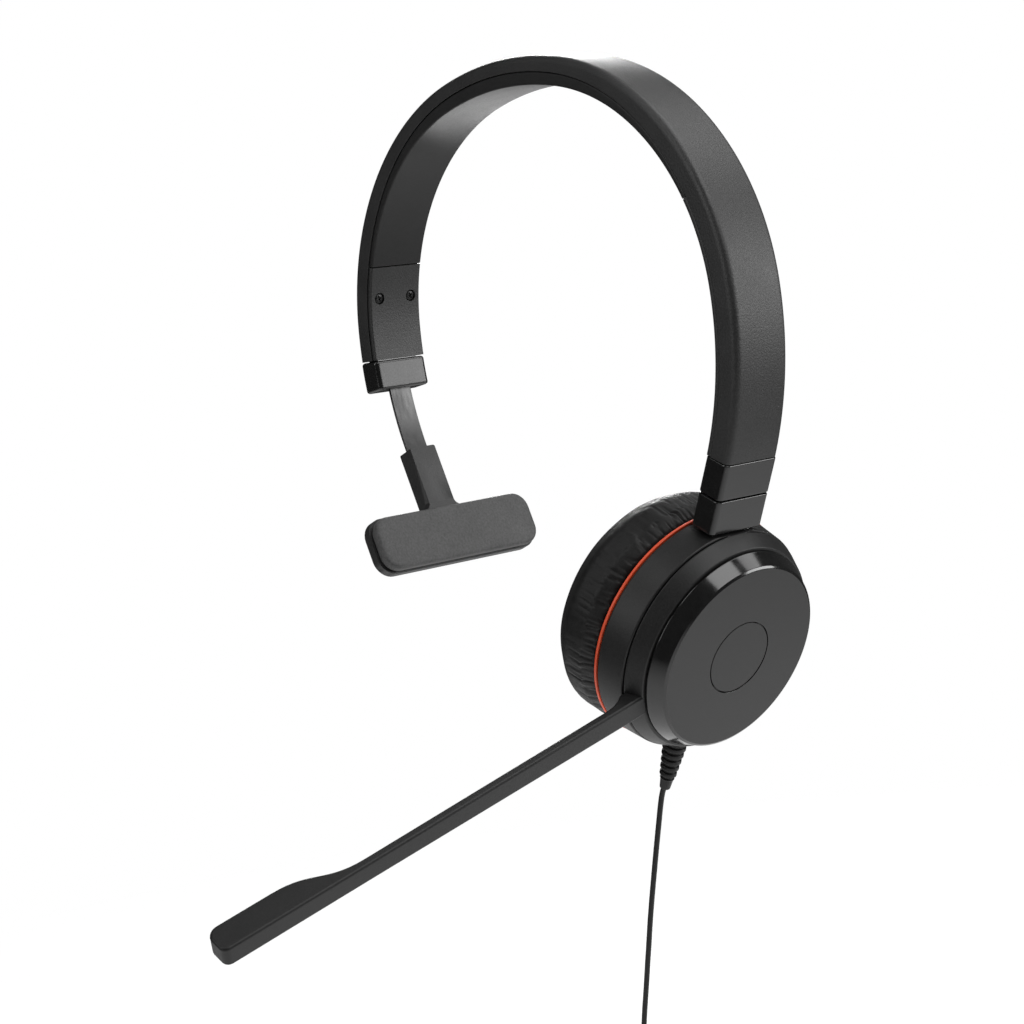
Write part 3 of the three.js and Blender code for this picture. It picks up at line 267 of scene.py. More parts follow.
class Nodes:
    """A material's node tree, with short calls to add and link nodes."""

    def __init__(self, name):
        self.material = bpy.data.materials.new(name)
        self.material.use_nodes = True
        self.tree = self.material.node_tree
        self.shader = self.tree.nodes["Principled BSDF"]
        self.place = self.tree.nodes.new("ShaderNodeTexCoord").outputs["Object"]

    def add(self, kind, inputs=None, **settings):
        node = self.tree.nodes.new(kind)
        for key, value in settings.items():
            setattr(node, key, value)
        for key, value in (inputs or {}).items():
            if isinstance(value, bpy.types.NodeSocket):
                self.tree.links.new(value, node.inputs[key])
            else:
                node.inputs[key].default_value = value
        return node

    def scaled(self, by):
        return self.add("ShaderNodeMapping", {"Vector": self.place, "Scale": by}).outputs["Vector"]

    def noise(self, scale, detail=3.0, roughness=0.55, vector=None):
        made = self.add("ShaderNodeTexNoise", {
            "Vector": vector or self.place, "Scale": scale, "Detail": detail, "Roughness": roughness})
        return made.outputs["Fac"]

    def pebbles(self, scale):
        made = self.add("ShaderNodeTexVoronoi", {"Vector": self.place, "Scale": scale}, feature="DISTANCE_TO_EDGE")
        return made.outputs["Distance"]

    def mixed(self, factor, low, high):
        made = self.add("ShaderNodeMix", data_type="RGBA")
        self.tree.links.new(factor, made.inputs["Factor"])
        made.inputs[6].default_value = (*low, 1)
        made.inputs[7].default_value = (*high, 1)
        return made.outputs[2]

    def ranged(self, value, low, high, start=0.3, stop=0.7):
        return self.add("ShaderNodeMapRange", {
            "Value": value, "From Min": start, "From Max": stop,
            "To Min": low, "To Max": high}).outputs["Result"]

    def maths(self, operation, a, b):
        return self.add("ShaderNodeMath", {0: a, 1: b}, operation=operation).outputs[0]

    def bump(self, height, distance, strength):
        return self.add("ShaderNodeBump", {
            "Height": height, "Distance": distance, "Strength": strength}).outputs["Normal"]

    def set(self, **values):
        for key, value in values.items():
            socket = self.shader.inputs[key.replace("_", " ")]
            if isinstance(value, bpy.types.NodeSocket):
                self.tree.links.new(value, socket)
            else:
                socket.default_value = value


def grey(value, tint=0.0):
    return (value, value, value * (1 + tint))


CLOUD_SCALE = 90
SPECKLE_SHARE = 0.65
BRUSH_SCALE = 900
BRUSH_DEPTH = 0.000006
THREAD_SCALE = 700.0


def plastic(name, low, high, rough, grain=2600, depth=0.00002, strength=0.5, specular=0.5):
    """Moulded plastic or rubber: a finely speckled colour, slightly uneven gloss and a fine moulded grain."""
    n = Nodes(name)
    fine = n.noise(grain, 2)
    speckle = n.maths("MULTIPLY", fine, SPECKLE_SHARE)
    cloud = n.maths("MULTIPLY", n.noise(CLOUD_SCALE, 3), 1 - SPECKLE_SHARE)
    tone = n.maths("ADD", speckle, cloud)
    n.set(Base_Color=n.mixed(n.ranged(tone, 0, 1), low, high), Specular_IOR_Level=specular)
    n.set(Roughness=n.ranged(tone, rough[0], rough[1]), Normal=n.bump(fine, depth, strength))
    return n.material


def metal(name, low, high, rough, stretch=(1, 1, 1)):
    """Metal with fine brushing along one direction."""
    n = Nodes(name)
    brushed = n.noise(BRUSH_SCALE, 3, vector=n.scaled(stretch))
    n.set(Base_Color=n.mixed(n.ranged(n.noise(70, 3), 0, 1), low, high), Metallic=1.0)
    n.set(Roughness=n.ranged(brushed, rough[0], rough[1]), Normal=n.bump(brushed, BRUSH_DEPTH, 0.35))
    return n.material


def leatherette(name):
    """Thin black leatherette: pebbled grain, fine creases and a sheen that follows them."""
    n = Nodes(name)
    pebble = n.pebbles(1500)
    crease = n.noise(420, 6, 0.62)
    height = n.maths("ADD", n.maths("MULTIPLY", pebble, 0.5), crease)
    n.set(Base_Color=n.mixed(n.ranged(crease, 0, 1), grey(0.008), grey(0.015)))
    n.set(Roughness=n.ranged(crease, 0.42, 0.56), Specular_IOR_Level=0.22)
    n.set(Normal=n.bump(height, 0.00022, 0.4))
    return n.material


def cloth(name):
    """Thin woven cloth."""
    n = Nodes(name)
    threads = {"Vector": n.place, "Scale": THREAD_SCALE, "Distortion": 0.6}
    across = n.add("ShaderNodeTexWave", threads, bands_direction="Y").outputs["Fac"]
    along = n.add("ShaderNodeTexWave", threads, bands_direction="Z").outputs["Fac"]
    weave = n.maths("MULTIPLY", across, along)
    n.set(Base_Color=n.mixed(weave, grey(0.006), grey(0.03)), Roughness=0.95, Sheen_Weight=0.3)
    n.set(Normal=n.bump(weave, 0.0002, 0.8))
    return n.material


# Each row: the darkest and the lightest colour, the range of roughness, and what else sets it apart.
PLASTICS = {
    "soft_touch_black": (grey(0.012), grey(0.024), (0.42, 0.56), dict(grain=1900, depth=0.00016)),
    "band_liner_rubber": (grey(0.007), grey(0.015), (0.45, 0.58), dict(grain=1900, depth=0.00006, specular=0.35)),
    "gloss_black": (grey(0.007), grey(0.011), (0.1, 0.15), dict(grain=500, depth=0.00001, strength=0.15)),
    "boom_black": (grey(0.007), grey(0.014), (0.4, 0.5), dict(grain=2200, depth=0.00006, specular=0.32)),
    "collar_satin": (grey(0.03), grey(0.045), (0.34, 0.42), dict(grain=2600, depth=0.00001)),
    "cover_satin": (grey(0.009), grey(0.014), (0.32, 0.4), dict(grain=4200, depth=0.000012, specular=0.33)),
    "cover_disc_satin": (grey(0.009), grey(0.015), (0.34, 0.42), dict(grain=4200, depth=0.000012, specular=0.33)),
    "pad_rubber": (grey(0.03), grey(0.09), (0.6, 0.75), dict(grain=1500, depth=0.00012, strength=0.6)),
    "inner_plastic": (grey(0.02), grey(0.03), (0.45, 0.6), {}),
    "stop_rubber": (grey(0.012), grey(0.02), (0.7, 0.85), {}),
    "cord_jacket": (grey(0.005), grey(0.01), (0.36, 0.46), dict(grain=1800, specular=0.25)),
    "trim_orange": ((0.72, 0.075, 0.022), (0.82, 0.1, 0.034), (0.36, 0.46), {}),
    "board_green": ((0.01, 0.1, 0.04), (0.02, 0.15, 0.06), (0.3, 0.4), {}),
    "diaphragm_film": ((0.38, 0.35, 0.3), (0.5, 0.47, 0.4), (0.25, 0.35), {}),
}
METALS = {
    "slider_steel": (grey(0.05), grey(0.08), (0.3, 0.42), dict(stretch=(1, 1, 0.06))),
    "spring_steel": (grey(0.2, 0.1), grey(0.28, 0.1), (0.3, 0.4), dict(stretch=(0.06, 1, 0.06))),
    "screw_steel": (grey(0.03), grey(0.05), (0.35, 0.5), {}),
    "magnet_steel": (grey(0.4), grey(0.5), (0.25, 0.35), {}),
    "coil_copper": ((0.6, 0.25, 0.1), (0.75, 0.35, 0.17), (0.3, 0.4), {}),
    "mesh_steel": (grey(0.05), grey(0.09), (0.4, 0.55), {}),
    "plug_nickel": ((0.62, 0.6, 0.55), (0.7, 0.68, 0.63), (0.12, 0.2), dict(stretch=(1, 1, 12))),
}
MATERIALS = {name: plastic(name, low, high, rough, **extra) for name, (low, high, rough, extra) in PLASTICS.items()}
MATERIALS |= {name: metal(name, low, high, rough, **extra) for name, (low, high, rough, extra) in METALS.items()}
MATERIALS["leatherette_black"] = leatherette("leatherette_black")
MATERIALS["scrim_cloth"] = cloth("scrim_cloth")
SLOT_OF = {row["node"]: row["material_slot"] for row in frame["record"]["subparts"]}

# ------------------------------------------------------------------ making pieces


def mesh_object(name, points, faces, at=None):
    """A mesh from points in millimetres, in the frame `at` if one is given."""
    place = at or Matrix.Identity(4)
    mesh = bpy.data.meshes.new(name)
    mesh.from_pydata([(place @ Vector(p)) * MM for p in points], [], faces)
    bm = bmesh.new()
    bm.from_mesh(mesh)
    bmesh.ops.remove_doubles(bm, verts=bm.verts, dist=0.000002)
    bmesh.ops.recalc_face_normals(bm, faces=bm.faces)
    bm.to_mesh(mesh)
    bm.free()
    made = bpy.data.objects.new(name, mesh)
    scene.collection.objects.link(made)
    return made


def evaluated(piece):
    """Bakes a piece's modifiers into its mesh."""
    graph = bpy.context.evaluated_depsgraph_get()
    mesh = bpy.data.meshes.new_from_object(piece.evaluated_get(graph))
    piece.modifiers.clear()
    piece.data = mesh


def boolean(piece, tools, operation="DIFFERENCE"):
    for tool in tools:
        made = piece.modifiers.new("boolean", "BOOLEAN")
        made.operation = operation
        made.solver = "EXACT"
        made.object = tool
    evaluated(piece)
    for tool in tools:
        bpy.data.objects.remove(tool)


def rounded_edges(piece, width, segments=3, angle=35):
    made = piece.modifiers.new("edges", "BEVEL")
    made.width = width * MM
    made.segments = segments
    made.limit_method = "ANGLE"
    made.angle_limit = angle * DEG
    made.use_clamp_overlap = True
    made.miter_outer = "MITER_ARC"


def shade(piece, angle=40):
    piece.data.shade_smooth()
    if not any(m.type == "BEVEL" for m in piece.modifiers):
        piece.data.set_sharp_from_angle(angle=angle * DEG)
    made = piece.modifiers.new("normals", "WEIGHTED_NORMAL")
    made.keep_sharp = True
    made.weight = 80


def finish_piece(piece, node, material=None, bevel=0, segments=3):
    """Gives a new piece its edges, shading, material and CAD body. It stands for its node."""
    slot = SLOT_OF[node]
    if not piece.data.materials:
        piece.data.materials.append(MATERIALS[material or slot])
    if bevel:
        rounded_edges(piece, bevel, segments)
    shade(piece)
    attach(piece, frame["nodes"][node]["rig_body"])
    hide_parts(node)
    return piece


def revolve(name, profile, at, segments=160):
    """A turned solid about the frame's Z. The profile is (radius, z) pairs and closes on itself."""
    points, faces = [], []
    count = len(profile)
    for i in range(segments):
        angle = 2 * math.pi * i / segments
        points += [(r * math.cos(angle), r * math.sin(angle), z) for r, z in profile]
    for i in range(segments):
        a, b = i * count, (i + 1) % segments * count
        for j in range(count):
            k = (j + 1) % count
            if profile[j][0] == 0 and profile[k][0] == 0:
                continue
            faces.append((a + j, a + k, b + k, b + j))
    return mesh_object(name, points, faces, at)


def filleted(corners, steps=4):
    """A closed outline from (x, y, radius) corners, each rounded to its radius."""
    made = []
    count = len(corners)
    for i, (x, y, radius) in enumerate(corners):
        here = Vector((x, y))
        to_last = Vector(corners[i - 1][:2]) - here
        to_next = Vector(corners[(i + 1) % count][:2]) - here
        if radius <= 0 or to_last.length < 1e-6 or to_next.length < 1e-6:
            made.append((x, y))
            continue
        half = to_last.angle(to_next) / 2
        reach = min(radius / math.tan(half), 0.49 * to_last.length, 0.49 * to_next.length)
        start = here + to_last.normalized() * reach
        end = here + to_next.normalized() * reach
        for k in range(steps + 1):
            t = k / steps
            point = start * (1 - t) ** 2 + here * (2 * t * (1 - t)) + end * t ** 2
            made.append((point.x, point.y))
    return made


def rounded_box(x0, x1, y0, y1, radius, steps=5):
    return filleted([(x0, y0, radius), (x1, y0, radius), (x1, y1, radius), (x0, y1, radius)], steps)


def prism(name, outline, z0, z1, at):
    """A straight solid of the outline between two heights of the frame."""
    count = len(outline)
    points = [(x, y, z) for z in (z0, z1) for x, y in outline]
    faces = [tuple(range(count))[::-1], tuple(range(count, 2 * count))]
    faces += [(i, (i + 1) % count, count + (i + 1) % count, count + i) for i in range(count)]
    return mesh_object(name, points, faces, at)


def block(name, x0, x1, y0, y1, z0, z1, at):
    return prism(name, [(x0, y0), (x1, y0), (x1, y1), (x0, y1)], z0, z1, at)


# ------------------------------------------------------------------ the headband's line


def on_arc(centre, radius, angle):
    return centre[0] + radius * math.sin(angle), centre[1] + radius * math.cos(angle)


crown_angle = CROWN_ARC / CROWN_RADIUS
shoulder_angle = crown_angle + SHOULDER_ARC / SHOULDER_RADIUS
limb_start = CROWN_ARC + SHOULDER_ARC
crown_centre = (0, BAND_THICKNESS - CROWN_RADIUS)
shoulder_centre = on_arc(crown_centre, CROWN_RADIUS - SHOULDER_RADIUS, crown_angle)
limb_centre = on_arc(shoulder_centre, SHOULDER_RADIUS - LIMB_RADIUS, shoulder_angle)


def limb_angle(s):
    return shoulder_angle + (abs(s) - limb_start) / LIMB_RADIUS


def limb_point(s, depth):
    x, z = on_arc(limb_centre, LIMB_RADIUS - depth, limb_angle(s))
    return Vector((math.copysign(x, s), 0, z))


def band_point(s, depth):
    run = abs(s)
    if run > limb_start:
        return limb_point(s, depth)
    if run <= CROWN_ARC:
        x, z = on_arc(crown_centre, CROWN_RADIUS - depth, run / CROWN_RADIUS)
    else:
        angle = crown_angle + (run - CROWN_ARC) / SHOULDER_RADIUS
        x, z = on_arc(shoulder_centre, SHOULDER_RADIUS - depth, angle)
    return Vector((math.copysign(x, s), 0, z))


def along_band(name, section, start, stop, step=2.0, at=band_point):
    """Sweeps a closed section along the band between two arc lengths.

    The section is (across, depth) points, or a function that gives them for an arc length.
    """
    if not callable(section):
        outline, section = section, lambda s: outline
    count = len(section(start))
    rings = max(2, round((stop - start) / step) + 1)
    points, faces = [], []
    for i in range(rings):
        s = start + (stop - start) * i / (rings - 1)
        for across, depth in section(s):
            point = at(s, depth)
            points.append((point.x, across, point.z))
    for i in range(rings - 1):
        a, b = i * count, (i + 1) * count
        faces += [(a + j, a + (j + 1) % count, b + (j + 1) % count, b + j) for j in range(count)]
    faces += [tuple(range(count)), tuple(range((rings - 1) * count, rings * count))[::-1]]
    return mesh_object(name, points, faces)


def band_frame(s, across, depth):
    """A frame on the band whose Z points inward."""
    origin = band_point(s, depth)
    along = (band_point(s + 0.01, depth) - origin).normalized()
    inward = (band_point(s, depth + 1) - origin).normalized()
    made = Matrix((along, inward.cross(along), inward)).transposed().to_4x4()
    made.translation = (origin.x, across, origin.z)
    return made


def end_frame(s, cant):
    """A frame on a band end: Y runs up the limb and Z outward."""
    side = math.copysign(1, s)
    tilt = limb_angle(s) - math.pi / 2 + cant * DEG
    up = Vector((side * math.sin(tilt), 0, math.cos(tilt)))
    out = Vector((side * math.cos(tilt), 0, -math.sin(tilt)))
    made = Matrix((up.cross(out), up, out)).transposed().to_4x4()
    made.translation = limb_point(s, 0)
    return made


arm_frame = end_frame(left_arm_top, 0)
yoke_frame = end_frame(BAND_ARC_RIGHT, YOKE_CANT)
cup_frame = yoke_frame @ Matrix.Translation((0, -CUP_DROP, CUP_SET_BACK))
boom_frame = cup_frame @ Matrix.Rotation(math.pi + BOOM_ANGLE * DEG, 4, "Z")
bar_frame = boom_frame @ Matrix.Translation((0, BOOM_OFFSET, 0))

# ------------------------------------------------------------------ cord


COIL_SHIFT = 65 * DEG  # how much of a turn the cord takes to step to its next slot
COIL_STEPS = 22  # points in a turn


def coil_path():
    """The coil's centreline: columns of turns side by side, each wound layer by layer, in then out."""
    slots = []
    for column in range(COIL_COLUMNS):
        layers = range(COIL_LAYERS - 1, -1, -1) if column % 2 == 0 else range(COIL_LAYERS)
        slots += [(layer, column) for layer in layers]
    shifts = len(slots) - 1
    lead = 2 * math.pi / shifts  # each shift comes a little earlier in its turn than the one before
    turn = 2 * math.pi - lead
    total = 2 * math.pi * shifts
    steps = COIL_STEPS * shifts
    made = []
    for i in range(steps + 1):
        angle = total * i / steps
        layer, column = slots[0]
        for k in range(shifts):
            progress = (angle - (turn * (k + 1) - COIL_SHIFT)) / COIL_SHIFT
            progress = min(1, max(0, progress))
            eased = progress * progress * (3 - 2 * progress)
            layer += (slots[k + 1][0] - slots[k][0]) * eased
            column += (slots[k + 1][1] - slots[k][1]) * eased
        radius = COIL_MIDDLE_RADIUS + (layer - (COIL_LAYERS - 1) / 2) * COIL_PITCH
        x, y, z = COIL_CENTRE
        across = (column - (COIL_COLUMNS - 1) / 2) * COIL_PITCH
        made.append((x - radius * math.cos(angle), y + across, z - radius * math.sin(angle)))
    return made


def make_cord():
    points = [CORD_ROOT] + CORD_ROUTE + coil_path() + TAIL_ROUTE
    curve = bpy.data.curves.new("cord", "CURVE")
    curve.dimensions = "3D"
    spline = curve.splines.new("NURBS")
    spline.points.add(len(points) - 1)
    for target, point in zip(spline.points, points):
        target.co = (*(Vector(point) * MM), 1)
    spline.use_endpoint_u = True
    spline.order_u = 3
    spline.resolution_u = 3
    curve.bevel_depth = CORD_DIAMETER / 2 * MM
    curve.bevel_resolution = 4
    curve.use_fill_caps = True
    curve.materials.append(MATERIALS["cord_jacket"])
    cord = bpy.data.objects.new("cord_jacket", curve)
    scene.collection.objects.link(cord)
    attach(cord, "ear_cup")
    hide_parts("cord", "cord_coil", "cord_tail")
    return cord


cord = make_cord()

# ------------------------------------------------------------------ headband


def liner_edge(s):
    """Depth of the seam on the band's sides: the padding thins from the crown towards the plates."""
    share = (s - plate_left_start) / (plate_right_start - plate_left_start)
    return liner_top - CROWN_PADDING * math.sin(math.pi * min(1, max(0, share))) ** 1.5


def make_headband():
    inner = half_band - SHELL_SIDE_WALL

    def shell(s):
        side = liner_edge(s) - SEAM
        return filleted([
            (-half_band, side, 0.15), (-half_band, 0, 2.1), (half_band, 0, 2.1), (half_band, side, 0.15),
            (inner, side, 0), (inner, SHELL_WALL, 0.3), (-inner, SHELL_WALL, 0.3), (-inner, side, 0)], 6)

    made = along_band("band_shell", shell, -BAND_ARC_LEFT, BAND_ARC_RIGHT, BAND_STEP)
    finish_piece(made, "band_outer_shell")

    liner_half = half_band - 0.2

    def cushioned(s):
        return rounded_box(-liner_half, liner_half, liner_edge(s), BAND_THICKNESS, 0.6)

    made = along_band("band_liner_pad", cushioned, plate_left_start + GAP, plate_right_start - GAP, BAND_STEP)
    finish_piece(made, "band_liner", bevel=0.3)

    rows = {"left": [plate_left_start - SCREW_INSET],
            "right": [plate_right_start + SCREW_INSET, BAND_ARC_RIGHT - SCREW_INSET_LOW]}
    plate = rounded_box(-liner_half, liner_half, liner_top, BAND_THICKNESS, 0.6)
    wide, narrow = SCREW_HEAD_RADIUS + GAP, SCREW_SHANK_RADIUS + GAP
    hole = [(0, -1), (narrow, -1), (narrow, 0.5), (wide, 0.5), (wide, 3), (0, 3)]
    ends = {"left": (-BAND_ARC_LEFT, plate_left_start), "right": (plate_right_start, BAND_ARC_RIGHT)}
    for side_name, (start, stop) in ends.items():
        made = along_band("plate_" + side_name, plate, start, stop, BAND_STEP)
        holes = []
        for row, s in enumerate(rows[side_name]):
            for across in (-SCREW_SPREAD, SCREW_SPREAD):
                holes.append(revolve("hole", hole, band_frame(s, across, liner_top), SMALL_TURN))
                seat = band_frame(s, across, BAND_THICKNESS - SCREW_HEAD_HEIGHT - 0.15)
                name = f"{side_name}_{'low_' if row else ''}{'front' if across < 0 else 'rear'}"
                make_screw("screw_" + name, "plate_screw_" + name, seat, 25 + 40 * row + across)
        boolean(made, holes)
        finish_piece(made, "inner_plate_" + side_name, bevel=0.14, segments=2)


def make_screw(name, node, at, turn):
    """A pan-head screw with a cross recess, turned by that many degrees."""
    r, h, shank = SCREW_HEAD_RADIUS, SCREW_HEAD_HEIGHT, SCREW_SHANK_RADIUS
    profile = [(0, -SCREW_LENGTH), (shank, -SCREW_LENGTH), (shank, 0), (r, 0), (r, h * 0.45), (r * 0.94, h * 0.72),
               (r * 0.78, h * 0.9), (r * 0.5, h * 0.98), (0, h)]
    at = at @ Matrix.Rotation(turn * DEG, 4, "Z")
    head = revolve(name, profile, at, SMALL_TURN)
    wings = [block("slot", -a, a, -b, b, h * 0.3, 2, at) for a, b in ((r * 0.62, 0.2), (0.2, r * 0.62))]
    boolean(head, wings)
    finish_piece(head, node, bevel=0.05, segments=2)


def strip_slot(name, start, stop):
    half = STRIP_THICKNESS / 2 + GAP
    low, high = STRIP_DEPTH - half, STRIP_DEPTH + half
    wide = STRIP_WIDTH / 2 + GAP
    return along_band(name, [(-wide, low), (wide, low), (wide, high), (-wide, high)], start, stop, 2, limb_point)


def make_sliders():
    half = STRIP_THICKNESS / 2
    section = rounded_box(-STRIP_WIDTH / 2, STRIP_WIDTH / 2, STRIP_DEPTH - half, STRIP_DEPTH + half, 0.26)
    spans = {"left": (left_arm_top - STRIP_SEAT, -(BAND_ARC_LEFT - STRIP_HELD - TRAVEL_LEFT_OUT)),
             "right": (BAND_ARC_RIGHT - STRIP_HELD - TRAVEL_RIGHT,
                       BAND_ARC_RIGHT + GAP + COLLAR_RIGHT_LENGTH + YOKE_CLEARANCE + YOKE_GRIP)}
    for side_name, (start, stop) in spans.items():
        made = along_band("strip_" + side_name, section, start, stop, COLLAR_STEP, limb_point)
        finish_piece(made, "slider_strip_" + side_name)


def finish_collar(collar, inward):
    """Rounds the collar's two ends, and gives its inner face a satin finish between glossy corners."""
    collar.data.materials.append(MATERIALS["gloss_black"])
    collar.data.materials.append(MATERIALS["collar_satin"])
    rounded_edges(collar, 0.9, 5)
    evaluated(collar)
    for face in collar.data.polygons:
        if face.normal.dot(inward) > 0.985:
            face.material_index = 1


def make_collars():
    section = rounded_box(-half_band, half_band, 0, BAND_THICKNESS, COLLAR_CORNER, 7)
    inner = half_band - SHELL_SIDE_WALL - GAP
    spigot = rounded_box(-inner, inner, SHELL_WALL + GAP, liner_top - GAP, 0.4, 3)
    end = -(BAND_ARC_LEFT + GAP)
    collar = along_band("collar_left_shell", section, end - COLLAR_LEFT_LENGTH, end, COLLAR_STEP)
    finish_collar(collar, band_frame(end - COLLAR_LEFT_LENGTH / 2, 0, 0).to_3x3() @ Vector((0, 0, 1)))
    boolean(collar, [along_band("spigot", spigot, end - 1, end + COLLAR_SPIGOT, 1.5)], "UNION")
    boolean(collar, [strip_slot("slot", end - COLLAR_LEFT_LENGTH - 2, end + COLLAR_SPIGOT + 2)])
    finish_piece(collar, "collar_left")

    # The right collar is straight, in the yoke's frame.
    outline = rounded_box(-half_band, half_band, -BAND_THICKNESS, 0, COLLAR_CORNER, 7)
    turned_down = yoke_frame @ Matrix.Rotation(math.pi / 2, 4, "X")
    collar = prism("collar_right_shell", outline, GAP, GAP + COLLAR_RIGHT_LENGTH, turned_down)
    rounded_edges(collar, 0.35, 4)
    end = BAND_ARC_RIGHT
    boolean(collar, [along_band("spigot", spigot, end - COLLAR_SPIGOT, end + 2, 1.5)], "UNION")
    boolean(collar, [strip_slot("slot", end - COLLAR_SPIGOT - 2, end + COLLAR_RIGHT_LENGTH + 3)])
    finish_piece(collar, "collar_right")


# ------------------------------------------------------------------ temple arm and pad


def arc(cx, cy, radius, start, stop, steps=8):
    angles = [(start + (stop - start) * k / steps) * DEG for k in range(steps + 1)]
    return [(cx + radius * math.cos(angle), cy + radius * math.sin(angle)) for angle in angles]


ARM_BACK = -STRIP_DEPTH - ARM_THICKNESS / 2
ARM_FILLET = 2.2
PAD_CROWN = 0.25
# Up the foam's side: the share of its thickness, and how far the outline has drawn in.
PAD_LEVELS = [(0, 0.25), (0.12, 0.06), (0.3, 0), (0.62, 0), (0.78, 0.14), (0.88, 0.42), (0.95, 0.85), (0.99, 1.5),
              (1.0, 2.4)]


def make_temple_arm():
    middle = -ARM_TO_PAD
    half, arm, corner, fillet = BACKING_LENGTH / 2, ARM_WIDTH / 2, BACKING_CORNER, ARM_FILLET
    top, bottom = middle + BACKING_HEIGHT / 2, middle - BACKING_HEIGHT / 2
    outline = [*arc(half - corner, bottom + corner, corner, -90, 0),
               *arc(half - corner, top - corner, corner, 0, 90),
               *arc(arm + fillet, top + fillet, fillet, 270, 180),
               *arc(-arm - fillet, top + fillet, fillet, 0, -90),
               *arc(-half + corner, top - corner, corner, 90, 180),
               *arc(-half + corner, bottom + corner, corner, 180, 270)]
    tee = prism("temple_arm_body", outline, ARM_BACK, ARM_BACK + BACKING_THICKNESS, arm_frame)
    sleeve = rounded_box(-arm, arm, top - 4, 0, 0.7)
    boolean(tee, [prism("sleeve", sleeve, ARM_BACK, ARM_BACK + ARM_THICKNESS, arm_frame)], "UNION")
    boolean(tee, [strip_slot("slot", left_arm_top - STRIP_SEAT - 1, left_arm_top + 2)])
    finish_piece(tee, "temple_arm", bevel=0.6, segments=4)


def make_temple_pad():
    """Moulded foam: a thin crowned slab that narrows to its edges."""
    middle = -ARM_TO_PAD
    rings = []
    for share, inset in PAD_LEVELS:
        x, y = PAD_LENGTH / 2 + FOAM_OVERHANG - inset, PAD_HEIGHT / 2 + FOAM_OVERHANG - inset
        r = PAD_CORNER + FOAM_OVERHANG - inset
        ring = [*arc(x - r, -y + r, r, -90, 0), *arc(x - r, y - r, r, 0, 90),
                *arc(-x + r, y - r, r, 90, 180), *arc(-x + r, -y + r, r, 180, 270)]
        z = ARM_BACK - GAP - share * (PAD_THICKNESS - PAD_CROWN)
        rings.append([(px, py + middle, z) for px, py in ring])
    last = rings[-1]
    for share in (0.75, 0.5, 0.25):
        z = ARM_BACK - GAP - PAD_THICKNESS + PAD_CROWN - PAD_CROWN * (1 - share * share)
        rings.append([(px * share, (py - middle) * share + middle, z) for px, py, _ in last])
    count = len(last)
    points = [p for ring in rings for p in ring]
    faces = [tuple(range(count))]
    for i in range(len(rings) - 1):
        a, b = i * count, (i + 1) * count
        faces += [(a + j, a + (j + 1) % count, b + (j + 1) % count, b + j) for j in range(count)]
    faces.append(tuple(range((len(rings) - 1) * count, len(rings) * count))[::-1])
    pad = mesh_object("temple_pad_foam", points, faces, arm_frame)
    finish_piece(pad, "temple_pad")


# ------------------------------------------------------------------ yoke and ear cup


def make_yoke():
    top = -(GAP + COLLAR_RIGHT_LENGTH + YOKE_CLEARANCE)
    bottom = top - YOKE_LENGTH
    turned_down = yoke_frame @ Matrix.Rotation(math.pi / 2, 4, "X")
    outline = rounded_box(-half_band, half_band, -BAND_THICKNESS, 0, COLLAR_CORNER, 7)
    yoke = prism("yoke_body", outline, -top, -bottom, turned_down)
    pin_y, middle = PIN_HEIGHT - CUP_DROP, -BAND_THICKNESS / 2
    room = LUG_RADIUS + 0.6
    wide = LUG_WIDTH / 2 + GAP
    slot_start = BAND_ARC_RIGHT + COLLAR_RIGHT_LENGTH
    tools = [block("pocket", -wide, wide, bottom - 1, pin_y + LUG_RADIUS + GAP,
                   middle - room, middle + room, yoke_frame),
             strip_slot("slot", slot_start, slot_start + 4.6)]
    across = yoke_frame @ Matrix.Translation((0, pin_y, middle)) @ Matrix.Rotation(math.pi / 2, 4, "Y")
    bore = PIN_RADIUS + GAP
    bored = half_band - PIN_COVER
    tools.append(revolve("bore", [(0, -bored), (bore, -bored), (bore, bored), (0, bored)], across, PIN_TURN))
    boolean(yoke, tools)
    finish_piece(yoke, "yoke", material="gloss_black", bevel=0.38, segments=4)
    reach = bored - GAP
    r = PIN_RADIUS
    pin = filleted([(0, -reach, 0), (r, -reach, 0.2), (r, reach, 0.2), (0, reach, 0)], 3)
    finish_piece(revolve("yoke_pin_steel", pin, across, PIN_TURN), "yoke_pin")


